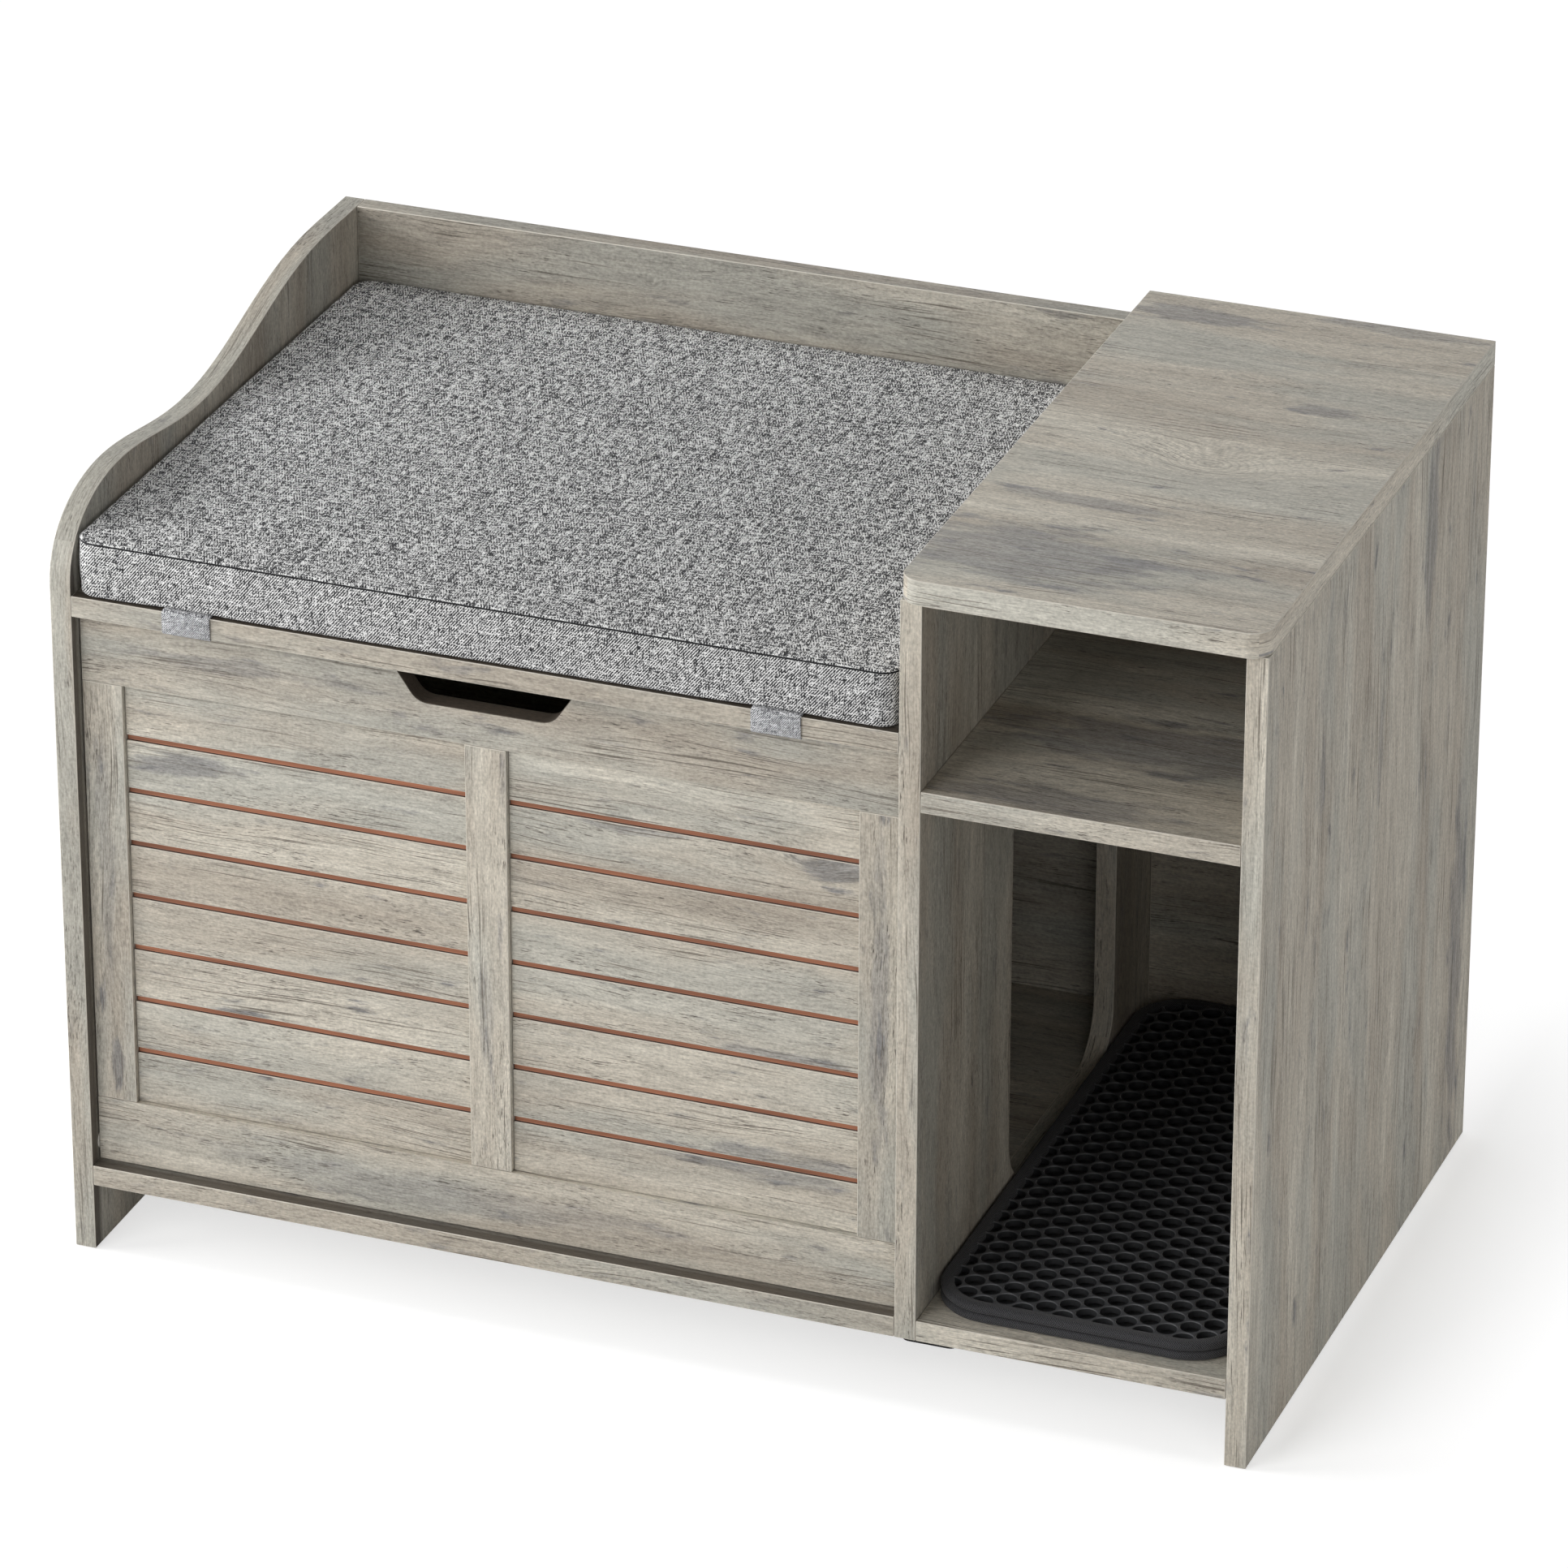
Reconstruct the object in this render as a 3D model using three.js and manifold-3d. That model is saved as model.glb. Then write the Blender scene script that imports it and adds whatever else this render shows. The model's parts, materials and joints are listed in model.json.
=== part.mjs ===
import * as THREE from "three";
import { mergeVertices } from "three/addons/utils/BufferGeometryUtils.js";
import Module from "manifold-3d";

// Bench cabinet that hides a litter box: a long chamber with a flip-down louvred
// front under a cushioned seat, and beside it an open tower with a mat and a shelf.
// Millimetres, +Z up, front towards -Y. Inside the cabinet group x runs from the left
// side's outer face, y from the side panels' front edges and z from the floor.

const cabinet = { width: 850, depth: 500, sideHeight: 592, board: 15, jointGap: 0.3 };
const towerTop = { thickness: 18, overhang: 6, cornerRadius: 15 };
const tower = { clearWidth: 217.5, shelfHeight: 442.5 };
const floorBoards = { height: 50 };
const seat = { height: 482 };

// Wavy top edge of the left side, from the rounded front shoulder over a low hump and
// a shallow dip to the level crest. Handles are the lengths of the curve's tangents.
const wave = {
  shoulderAboveSeat: 6, shoulderHandle: 37,
  humpFromFront: 88, humpDrop: 29.5, humpFrontHandle: 50, humpRearHandle: 42,
  dipFromFront: 212, dipDrop: 41.5, dipFrontHandle: 47, dipRearHandle: 84,
  crestFromBack: 55, crestHandle: 103,
};

// Opening in the divider, between the tower and the litter chamber.
const doorway = { fromFront: 186.5, length: 221.5, belowShelf: 37.5, cornerRadius: 40 };

const foot = { size: 40, fromEdge: 80, pastDivider: 0.5, cornerRadius: 6 };
const camCap = { radius: 8.5, thickness: 1.5, fromEnd: 24, fromEdge: 70 };

const door = {
  recess: 10, thickness: 15, sideGap: 1.5, topGap: 1.5, bottomGap: 2,
  topRail: 49, bottomRail: 48, sideStile: 29, centreStile: 29.5,
};
const louvre = { recess: 4, thickness: 9, slats: 8, grooveHeight: 4, grooveDepth: 2 };
const grip = { topWidth: 128, bottomWidth: 96, depth: 23.5, cornerRadius: 8 };

// Pins in the door's lower corners turn in flanged bushes let into the sides.
const pivot = { fromFace: 6, fromBottom: 12, endPlay: 0.3, pocketPlay: 0.15 };
const pin = { radius: 3, inDoor: 18, inBush: 8.5 };
const bush = { boreRadius: 3.06, radius: 5, depth: 10, flangeRadius: 7, flange: 1 };

const magnet = { width: 46, depth: 15, height: 11, fromSide: 60, clearance: 0.5 };
const strikePlate = { width: 38, height: 12, thickness: 1, fromTop: 0.5 };

const cushion = {
  sideGap: 2.5, frontGap: 3, rearGap: 2, underGap: 0.5, height: 39.5, crown: 5, cornerRadius: 22,
  lowerRadius: 10, upperRadius: 4.5, sideDraw: 3, drawReach: 120,
  seamDrop: 5.5, seamDepth: 1.6, seamWidth: 2.4,
};
const strap = { width: 35, thickness: 1.3, fromEnd: 67, tuckOver: 7, tuckUnder: 8.5, standOff: 0.4 };
const mat = {
  sideGap: 2, frontGap: 11.5, rearGap: 1.5, cornerRadius: 40, layer: 5, bindingWidth: 9, bindingHeight: 6.6,
};

const finishes = {
  laminate: { color: 0xaba394, roughness: 0.55, metalness: 0 },
  cushionFabric: { color: 0x9b9da0, roughness: 0.95, metalness: 0 },
  foam: { color: 0x1b1c1d, roughness: 0.5, metalness: 0 },
  binding: { color: 0x26272a, roughness: 0.9, metalness: 0 },
  blackPlastic: { color: 0x151515, roughness: 0.45, metalness: 0 },
  nylon: { color: 0xd9d7d0, roughness: 0.5, metalness: 0 },
  capPlastic: { color: 0x9a9183, roughness: 0.5, metalness: 0 },
  steel: { color: 0xb9bcc0, roughness: 0.35, metalness: 1 },
};

// Planes that pieces share.
const board = cabinet.board, gap = cabinet.jointGap;
const dividerX = cabinet.width - board - tower.clearWidth - board;
const towerLeft = dividerX + board, towerRight = cabinet.width - board;
const backBoardY = cabinet.depth - board;
const floorTop = floorBoards.height + board;
const seatTop = seat.height + board;
const doorLeft = board + door.sideGap, doorRight = dividerX - door.sideGap;
const doorBottom = floorTop + door.bottomGap, doorTop = seat.height - door.topGap;
const pivotY = door.recess + pivot.fromFace, pivotZ = doorBottom + pivot.fromBottom;

const wasm = await Module();
wasm.setup();

function toManifold(geometry) {
  const bare = new THREE.BufferGeometry();
  bare.setAttribute("position", geometry.getAttribute("position").clone());
  if (geometry.index) bare.setIndex(geometry.index.clone());
  const welded = mergeVertices(bare, 1e-4);
  return new wasm.Manifold(new wasm.Mesh({
    numProp: 3,
    vertProperties: new Float32Array(welded.getAttribute("position").array),
    triVerts: new Uint32Array(welded.index.array),
  }));
}

// The base geometry less every cutter.
function cut(base, ...cutters) {
  const solid = cutters.reduce((rest, cutter) => rest.subtract(toManifold(cutter)), toManifold(base));
  const mesh = solid.getMesh();
  const geometry = new THREE.BufferGeometry();
  geometry.setAttribute("position", new THREE.BufferAttribute(new Float32Array(mesh.vertProperties), 3));
  geometry.setIndex(new THREE.BufferAttribute(new Uint32Array(mesh.triVerts), 1));
  geometry.computeVertexNormals();
  return geometry;
}

function addMesh(parent, name, finish, geometry, x = 0, y = 0, z = 0) {
  const mesh = new THREE.Mesh(geometry, new THREE.MeshStandardMaterial(finishes[finish]));
  mesh.name = name;
  mesh.position.set(x, y, z);
  parent.add(mesh);
  return mesh;
}

// Rectangular piece between two opposite corners.
function addBox(parent, name, finish, low, high) {
  const size = high.map((value, axis) => value - low[axis]);
  const centre = high.map((value, axis) => (value + low[axis]) / 2);
  return addMesh(parent, name, finish, new THREE.BoxGeometry(...size), ...centre);
}

function extrude(outline, length, curveSegments = 8) {
  return new THREE.ExtrudeGeometry(outline, { depth: length, bevelEnabled: false, curveSegments });
}

// Stands an extrusion drawn in (y, z) across the cabinet, with its length along +X.
function standAcross(mesh) {
  mesh.rotation.set(Math.PI / 2, 0, Math.PI / 2, "ZYX");
}

// Rod of the given radius lying along the local Z axis, from one end to the other.
function rodGeometry(radius, from, to, segments = 24) {
  const geometry = new THREE.CylinderGeometry(radius, radius, to - from, segments);
  geometry.rotateX(Math.PI / 2);
  geometry.translate(0, 0, (from + to) / 2);
  return geometry;
}

function roundedRectangle(path, left, right, front, rear, radius) {
  const quarter = Math.PI / 2;
  path.moveTo(left + radius, front);
  path.lineTo(right - radius, front);
  path.absarc(right - radius, front + radius, radius, -quarter, 0, false);
  path.lineTo(right, rear - radius);
  path.absarc(right - radius, rear - radius, radius, 0, quarter, false);
  path.lineTo(left + radius, rear);
  path.absarc(left + radius, rear - radius, radius, quarter, 2 * quarter, false);
  path.lineTo(left, front + radius);
  path.absarc(left + radius, front + radius, radius, 2 * quarter, 3 * quarter, false);
  return path;
}

const root = new THREE.Group();
root.name = "litter_box_cabinet";
root.position.set(-cabinet.width / 2, -(cabinet.depth - towerTop.overhang) / 2, 0);

function addGroup(name, x = 0, y = 0, z = 0) {
  const group = new THREE.Group();
  group.name = name;
  group.position.set(x, y, z);
  root.add(group);
  return group;
}

// ---- Carcass

const carcass = addGroup("carcass");

// Blind hole for a pivot bush, in a side panel's own (y, z, x).
function bushPocket(from, to) {
  const pocket = rodGeometry(bush.radius + pivot.pocketPlay, from, to);
  pocket.translate(pivotY, pivotZ, 0);
  return pocket;
}
const pocketDepth = bush.depth + pivot.endPlay;
const cutPast = 2;

const crestZ = cabinet.sideHeight, crestY = cabinet.depth - wave.crestFromBack;
const humpZ = crestZ - wave.humpDrop, dipZ = crestZ - wave.dipDrop;
const shoulderZ = seatTop + wave.shoulderAboveSeat;
const sideOutline = new THREE.Shape();
sideOutline.moveTo(0, 0);
sideOutline.lineTo(cabinet.depth, 0);
sideOutline.lineTo(cabinet.depth, crestZ);
sideOutline.lineTo(crestY, crestZ);
sideOutline.bezierCurveTo(
  crestY - wave.crestHandle, crestZ, wave.dipFromFront + wave.dipRearHandle, dipZ, wave.dipFromFront, dipZ);
sideOutline.bezierCurveTo(
  wave.dipFromFront - wave.dipFrontHandle, dipZ, wave.humpFromFront + wave.humpRearHandle, humpZ,
  wave.humpFromFront, humpZ);
sideOutline.bezierCurveTo(
  wave.humpFromFront - wave.humpFrontHandle, humpZ, 0, shoulderZ + wave.shoulderHandle, 0, shoulderZ);
sideOutline.lineTo(0, 0);
const leftSide = cut(extrude(sideOutline, board, 14), bushPocket(board - pocketDepth, board + cutPast));
standAcross(addMesh(carcass, "left_side_panel", "laminate", leftSide));

// Divider: starts at the underside of the floor boards and holds the doorway.
const dividerOutline = new THREE.Shape();
dividerOutline.moveTo(0, floorBoards.height);
dividerOutline.lineTo(cabinet.depth, floorBoards.height);
dividerOutline.lineTo(cabinet.depth, cabinet.sideHeight);
dividerOutline.lineTo(0, cabinet.sideHeight);
dividerOutline.lineTo(0, floorBoards.height);
dividerOutline.holes.push(roundedRectangle(
  new THREE.Path(), doorway.fromFront, doorway.fromFront + doorway.length,
  floorTop, tower.shelfHeight - doorway.belowShelf, doorway.cornerRadius));
const divider = cut(extrude(dividerOutline, board, 6), bushPocket(-cutPast, pocketDepth));
standAcross(addMesh(carcass, "divider_panel", "laminate", divider, dividerX));

addBox(carcass, "right_side_panel", "laminate",
  [towerRight, 0, 0], [cabinet.width, cabinet.depth, cabinet.sideHeight]);

// Boards that run between the left side and the divider, or the divider and the right side.
const chamber = [board + gap, dividerX - gap];
const bay = [towerLeft + gap, towerRight - gap];
function addBackBoard(name, [left, right], top) {
  addBox(carcass, name, "laminate", [left, backBoardY, floorBoards.height], [right, cabinet.depth, top]);
}
function addLevelBoard(name, [left, right], bottom) {
  addBox(carcass, name, "laminate", [left, 0, bottom], [right, backBoardY - gap, bottom + board]);
}
addBackBoard("chamber_back_board", chamber, cabinet.sideHeight);
addBackBoard("tower_back_board", bay, cabinet.sideHeight - gap);
addLevelBoard("chamber_floor_board", chamber, floorBoards.height);
addLevelBoard("tower_floor_board", bay, floorBoards.height);
addLevelBoard("seat_board", chamber, seat.height);
addLevelBoard("tower_shelf", bay, tower.shelfHeight);

// Tower top: front corners rounded, back corners square.
const topOutline = new THREE.Shape();
const topRadius = towerTop.cornerRadius, topFront = -towerTop.overhang;
topOutline.moveTo(dividerX + topRadius, topFront);
topOutline.lineTo(cabinet.width - topRadius, topFront);
topOutline.absarc(cabinet.width - topRadius, topFront + topRadius, topRadius, -Math.PI / 2, 0, false);
topOutline.lineTo(cabinet.width, cabinet.depth);
topOutline.lineTo(dividerX, cabinet.depth);
topOutline.lineTo(dividerX, topFront + topRadius);
topOutline.absarc(dividerX + topRadius, topFront + topRadius, topRadius, Math.PI, 1.5 * Math.PI, false);
addMesh(carcass, "tower_top", "laminate",
  extrude(topOutline, towerTop.thickness - gap), 0, 0, cabinet.sideHeight + gap);

// Feet under the divider, where it stops at the floor boards.
const footRight = towerLeft + foot.pastDivider;
const footPlaces = { front: foot.fromEdge, rear: cabinet.depth - foot.fromEdge - foot.size };
for (const [place, y] of Object.entries(footPlaces)) {
  const outline = roundedRectangle(new THREE.Shape(), -foot.size, 0, 0, foot.size, foot.cornerRadius);
  const geometry = extrude(outline, floorBoards.height - gap, 4);
  addMesh(carcass, `centre_foot_${place}`, "blackPlastic", geometry, footRight, y);
}

// Cover caps over the cam locks, on the undersides of the seat and the shelf.
function addCamCaps(prefix, left, right, underside) {
  let number = 1;
  for (const x of [left + camCap.fromEnd, right - camCap.fromEnd]) {
    for (const y of [camCap.fromEdge, backBoardY - camCap.fromEdge]) {
      const geometry = rodGeometry(camCap.radius, -camCap.thickness, 0, 20);
      addMesh(carcass, `${prefix}_cam_cap_${number}`, "capPlastic", geometry, x, y, underside - gap);
      number += 1;
    }
  }
}
addCamCaps("seat", board, dividerX, seat.height);
addCamCaps("shelf", towerLeft, towerRight, tower.shelfHeight);

// Flanged bush: section turned about the pin line, flange outside the panel's face.
function addBush(name, faceX, turn) {
  const flangeBack = pivot.pocketPlay;
  const section = [
    [bush.boreRadius, -bush.depth], [bush.radius, -bush.depth], [bush.radius, flangeBack],
    [bush.flangeRadius, flangeBack], [bush.flangeRadius, bush.flange], [bush.boreRadius, bush.flange],
    [bush.boreRadius, -bush.depth],
  ].map(([radius, along]) => new THREE.Vector2(radius, along));
  const mesh = addMesh(carcass, name, "nylon", new THREE.LatheGeometry(section, 28), faceX, pivotY, pivotZ);
  mesh.rotation.z = turn;
}
addBush("left_pivot_bush", board, -Math.PI / 2);
addBush("right_pivot_bush", dividerX, Math.PI / 2);

// Magnetic catches under the seat board, just behind the door's strike plates.
const plateFront = door.recess + door.thickness + gap;
const magnetFront = plateFront + strikePlate.thickness + magnet.clearance;
const catchPlaces = { left: doorLeft + magnet.fromSide, right: doorRight - magnet.fromSide };
for (const [side, x] of Object.entries(catchPlaces)) {
  addBox(carcass, `${side}_magnet_catch`, "nylon",
    [x - magnet.width / 2, magnetFront, seat.height - gap - magnet.height],
    [x + magnet.width / 2, magnetFront + magnet.depth, seat.height - gap]);
}

// ---- Flip-down door

// The group stands on the pin line, at the door's left edge.
const doorGroup = addGroup("door", doorLeft, pivotY, pivotZ);
const doorWidth = doorRight - doorLeft, doorHeight = doorTop - doorBottom;
const faceY = -pivot.fromFace, rearY = faceY + door.thickness;
const bottomZ = -pivot.fromBottom, topZ = bottomZ + doorHeight;
const topRailZ = topZ - door.topRail, bottomRailZ = bottomZ + door.bottomRail;

// Top rail with the hand cut-out: slanted sides, rounded lower corners.
const middle = doorWidth / 2, gripZ = topZ - grip.depth;
const gripTop = grip.topWidth / 2, gripLow = grip.bottomWidth / 2;
const slant = Math.hypot(gripTop - gripLow, grip.depth);
const slantX = grip.cornerRadius * (gripTop - gripLow) / slant;
const slantZ = grip.cornerRadius * grip.depth / slant;
const railOutline = new THREE.Shape();
railOutline.moveTo(0, topRailZ);
railOutline.lineTo(doorWidth, topRailZ);
railOutline.lineTo(doorWidth, topZ);
railOutline.lineTo(middle + gripTop, topZ);
railOutline.lineTo(middle + gripLow + slantX, gripZ + slantZ);
railOutline.quadraticCurveTo(middle + gripLow, gripZ, middle + gripLow - grip.cornerRadius, gripZ);
railOutline.lineTo(middle - gripLow + grip.cornerRadius, gripZ);
railOutline.quadraticCurveTo(middle - gripLow, gripZ, middle - gripLow - slantX, gripZ + slantZ);
railOutline.lineTo(middle - gripTop, topZ);
railOutline.lineTo(0, topZ);
railOutline.lineTo(0, topRailZ);
const topRail = extrude(railOutline, door.thickness, 5);
addMesh(doorGroup, "door_top_rail", "laminate", topRail, 0, rearY).rotation.x = Math.PI / 2;

// Bottom rail, drilled at both ends for the pins.
const drillRadius = pin.radius + pivot.pocketPlay, drillDepth = pin.inDoor + pivot.endPlay;
function pinDrilling(from, to) {
  const drilling = rodGeometry(drillRadius, from, to);
  drilling.rotateY(Math.PI / 2);
  return drilling;
}
const railBlank = new THREE.BoxGeometry(doorWidth, door.thickness, door.bottomRail);
railBlank.translate(middle, (faceY + rearY) / 2, (bottomZ + bottomRailZ) / 2);
addMesh(doorGroup, "door_bottom_rail", "laminate", cut(
  railBlank, pinDrilling(-cutPast, drillDepth), pinDrilling(doorWidth - drillDepth, doorWidth + cutPast)));

const stiles = {
  left: [0, door.sideStile],
  centre: [middle - door.centreStile / 2, middle + door.centreStile / 2],
  right: [doorWidth - door.sideStile, doorWidth],
};
for (const [place, [left, right]] of Object.entries(stiles)) {
  addBox(doorGroup, `door_${place}_stile`, "laminate",
    [left, faceY, bottomRailZ + gap], [right, rearY, topRailZ - gap]);
}

// Louvre panels: set back from the frame, with evenly spaced grooves routed in.
const slatPitch = (topRailZ - bottomRailZ) / louvre.slats;
function addLouvrePanel(name, left, right) {
  const front = faceY + louvre.recess, rear = front + louvre.thickness;
  const grooveFloor = front + louvre.grooveDepth, halfGroove = louvre.grooveHeight / 2;
  const outline = new THREE.Shape();
  outline.moveTo(rear, bottomRailZ + gap);
  outline.lineTo(rear, topRailZ - gap);
  outline.lineTo(front, topRailZ - gap);
  for (let number = louvre.slats - 1; number >= 1; number -= 1) {
    const z = bottomRailZ + number * slatPitch;
    outline.lineTo(front, z + halfGroove);
    outline.lineTo(grooveFloor, z + halfGroove);
    outline.lineTo(grooveFloor, z - halfGroove);
    outline.lineTo(front, z - halfGroove);
  }
  outline.lineTo(front, bottomRailZ + gap);
  outline.lineTo(rear, bottomRailZ + gap);
  standAcross(addMesh(doorGroup, name, "laminate", extrude(outline, right - left - 2 * gap), left + gap));
}
addLouvrePanel("door_left_louvre_panel", stiles.left[1], stiles.centre[0]);
addLouvrePanel("door_right_louvre_panel", stiles.centre[1], stiles.right[0]);

const pinReach = door.sideGap + pin.inBush;
const leftPin = rodGeometry(pin.radius, -pinReach, pin.inDoor);
const rightPin = rodGeometry(pin.radius, -pin.inDoor, pinReach);
addMesh(doorGroup, "door_left_pivot_pin", "steel", leftPin).rotation.y = Math.PI / 2;
addMesh(doorGroup, "door_right_pivot_pin", "steel", rightPin, doorWidth).rotation.y = Math.PI / 2;

for (const [side, x] of Object.entries({ left: magnet.fromSide, right: doorWidth - magnet.fromSide })) {
  const plateTop = topZ - strikePlate.fromTop;
  addBox(doorGroup, `door_${side}_strike_plate`, "steel",
    [x - strikePlate.width / 2, rearY + gap, plateTop - strikePlate.height],
    [x + strikePlate.width / 2, rearY + gap + strikePlate.thickness, plateTop]);
}

// ---- Seat cushion

const cushionLeft = board + cushion.sideGap, cushionRight = dividerX - cushion.sideGap;
const cushionFront = cushion.frontGap, cushionRear = backBoardY - cushion.rearGap;
const seatGroup = addGroup("seat_cushion");

// Rounded rectangle of half sizes a and b as a ring of points, pulled in by inset. Its
// long and short sides are drawn in towards their middles by a squared cosine.
function cushionRing(a, b, inset) {
  const sideSteps = 7, cornerSteps = 4, innerRadius = 14;
  const halfX = a - inset, halfY = b - inset;
  const radius = Math.max(cushion.cornerRadius - inset, Math.min(innerRadius, halfX / 2, halfY / 2));
  const cornerSigns = [[1, -1], [1, 1], [-1, 1], [-1, -1]];
  const corners = cornerSigns.map(([signX, signY]) => [signX * (halfX - radius), signY * (halfY - radius)]);
  const points = [];
  corners.forEach(([cornerX, cornerY], k) => {
    const start = (k - 1) * Math.PI / 2, end = k * Math.PI / 2;
    for (let i = 0; i <= cornerSteps; i += 1) {
      const angle = start + (end - start) * i / cornerSteps;
      points.push([cornerX + radius * Math.cos(angle), cornerY + radius * Math.sin(angle)]);
    }
    const [nextX, nextY] = corners[(k + 1) % corners.length];
    for (let i = 1; i < sideSteps; i += 1) {
      const share = i / sideSteps;
      points.push([
        cornerX + (nextX - cornerX) * share + radius * Math.cos(end),
        cornerY + (nextY - cornerY) * share + radius * Math.sin(end)]);
    }
  });
  const draw = cushion.sideDraw * Math.max(0, 1 - inset / cushion.drawReach);
  return points.map(([x, y]) => [
    x * (1 - draw / a * Math.cos(Math.PI * y / (2 * b)) ** 2),
    y * (1 - draw / b * Math.cos(Math.PI * x / (2 * a)) ** 2)]);
}

// Boxed cushion as a stack of rings, each [inset, height, share of the crown], from
// the flat underside up round the side, over the seam groove and across the crown.
function cushionGeometry(a, b) {
  const { height, lowerRadius, upperRadius, seamDepth, seamWidth } = cushion;
  const rollSteps = 4, crownPower = 2.6;
  const roll = (i) => i / rollSteps * Math.PI / 2;
  const seam = height - cushion.seamDrop;
  const rings = [[b / 2, 0, 0]];
  for (let i = 0; i <= rollSteps; i += 1) {
    rings.push([lowerRadius * (1 - Math.sin(roll(i))), lowerRadius * (1 - Math.cos(roll(i))), 0]);
  }
  rings.push([0, seam - seamWidth, 0], [seamDepth / 3, seam - seamWidth / 2, 0], [seamDepth, seam, 0]);
  rings.push([seamDepth / 3, seam + seamWidth / 2, 0], [seamDepth / 2, height - upperRadius / 2, 0]);
  rings.push([upperRadius, height, 0]);
  for (const share of [0.07, 0.2, 0.42, 0.69]) rings.push([share * b, height, 1]);

  const position = [], index = [];
  const fall = (share) => 1 - Math.abs(share) ** crownPower;
  const crown = (x, y) => cushion.crown * fall(x / a) * fall(y / b);
  for (const [inset, z, crownShare] of rings) {
    for (const [x, y] of cushionRing(a, b, inset)) position.push(x, y, z + crownShare * crown(x, y));
  }
  const count = position.length / 3 / rings.length;
  for (let ring = 0; ring + 1 < rings.length; ring += 1) {
    for (let i = 0; i < count; i += 1) {
      const here = ring * count + i, next = ring * count + (i + 1) % count;
      index.push(here, next, next + count, here, next + count, here + count);
    }
  }
  const bottomCentre = position.length / 3, topCentre = bottomCentre + 1;
  const lastRing = (rings.length - 1) * count;
  position.push(0, 0, 0, 0, 0, height + crown(0, 0));
  for (let i = 0; i < count; i += 1) {
    const next = (i + 1) % count;
    index.push(bottomCentre, next, i, topCentre, lastRing + i, lastRing + next);
  }
  const geometry = new THREE.BufferGeometry();
  geometry.setAttribute("position", new THREE.Float32BufferAttribute(position, 3));
  geometry.setIndex(index);
  geometry.computeVertexNormals();
  return geometry;
}
addMesh(seatGroup, "cushion", "cushionFabric",
  cushionGeometry((cushionRight - cushionLeft) / 2, (cushionRear - cushionFront) / 2),
  (cushionLeft + cushionRight) / 2, (cushionFront + cushionRear) / 2, seatTop + cushion.underGap);

// Fastening straps: from under the cushion, over the seat's front edge and back
// beneath it, with the two bends chamfered.
function addStrap(name, left) {
  const inner = -strap.standOff, outer = inner - strap.thickness;
  const over = seatTop + gap, under = seat.height - gap;
  const flat = 0.8 * strap.thickness, bend = 0.3 * strap.thickness;
  const outline = new THREE.Shape();
  outline.moveTo(strap.tuckOver, over);
  outline.lineTo(strap.tuckOver, over + flat);
  outline.lineTo(inner - bend, over + flat);
  outline.lineTo(outer, over - bend);
  outline.lineTo(outer, under + bend);
  outline.lineTo(inner - bend, under - flat);
  outline.lineTo(strap.tuckUnder, under - flat);
  outline.lineTo(strap.tuckUnder, under);
  outline.lineTo(inner, under);
  outline.lineTo(inner, over);
  outline.lineTo(strap.tuckOver, over);
  standAcross(addMesh(seatGroup, name, "cushionFabric", extrude(outline, strap.width), left));
}
addStrap("left_cushion_strap", board + strap.fromEnd);
addStrap("right_cushion_strap", dividerX - strap.fromEnd - strap.width);

// ---- Litter mat

// Two foam layers with bound edges, lying on the tower's floor board.
const matGroup = addGroup("mat", towerLeft + mat.sideGap, mat.frontGap, floorTop + gap);
const matWidth = tower.clearWidth - 2 * mat.sideGap, matLength = backBoardY - mat.rearGap - mat.frontGap;
function insetOutline(path, inset) {
  return roundedRectangle(path, inset, matWidth - inset, inset, matLength - inset, mat.cornerRadius - inset);
}
["lower", "upper"].forEach((level, number) => {
  const bottom = number * (mat.bindingHeight + gap);
  const ring = insetOutline(new THREE.Shape(), 0);
  ring.holes.push(insetOutline(new THREE.Path(), mat.bindingWidth));
  addMesh(matGroup, `mat_${level}_binding`, "binding", extrude(ring, mat.bindingHeight), 0, 0, bottom);
  const sheet = insetOutline(new THREE.Shape(), mat.bindingWidth + gap);
  const lift = (mat.bindingHeight - mat.layer) / 2;
  addMesh(matGroup, `mat_${level}_layer`, "foam", extrude(sheet, mat.layer), 0, 0, bottom + lift);
});

export default root;
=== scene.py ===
import json
import math
import bmesh
import bpy
import numpy as np
from mathutils import Matrix, Vector

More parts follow.
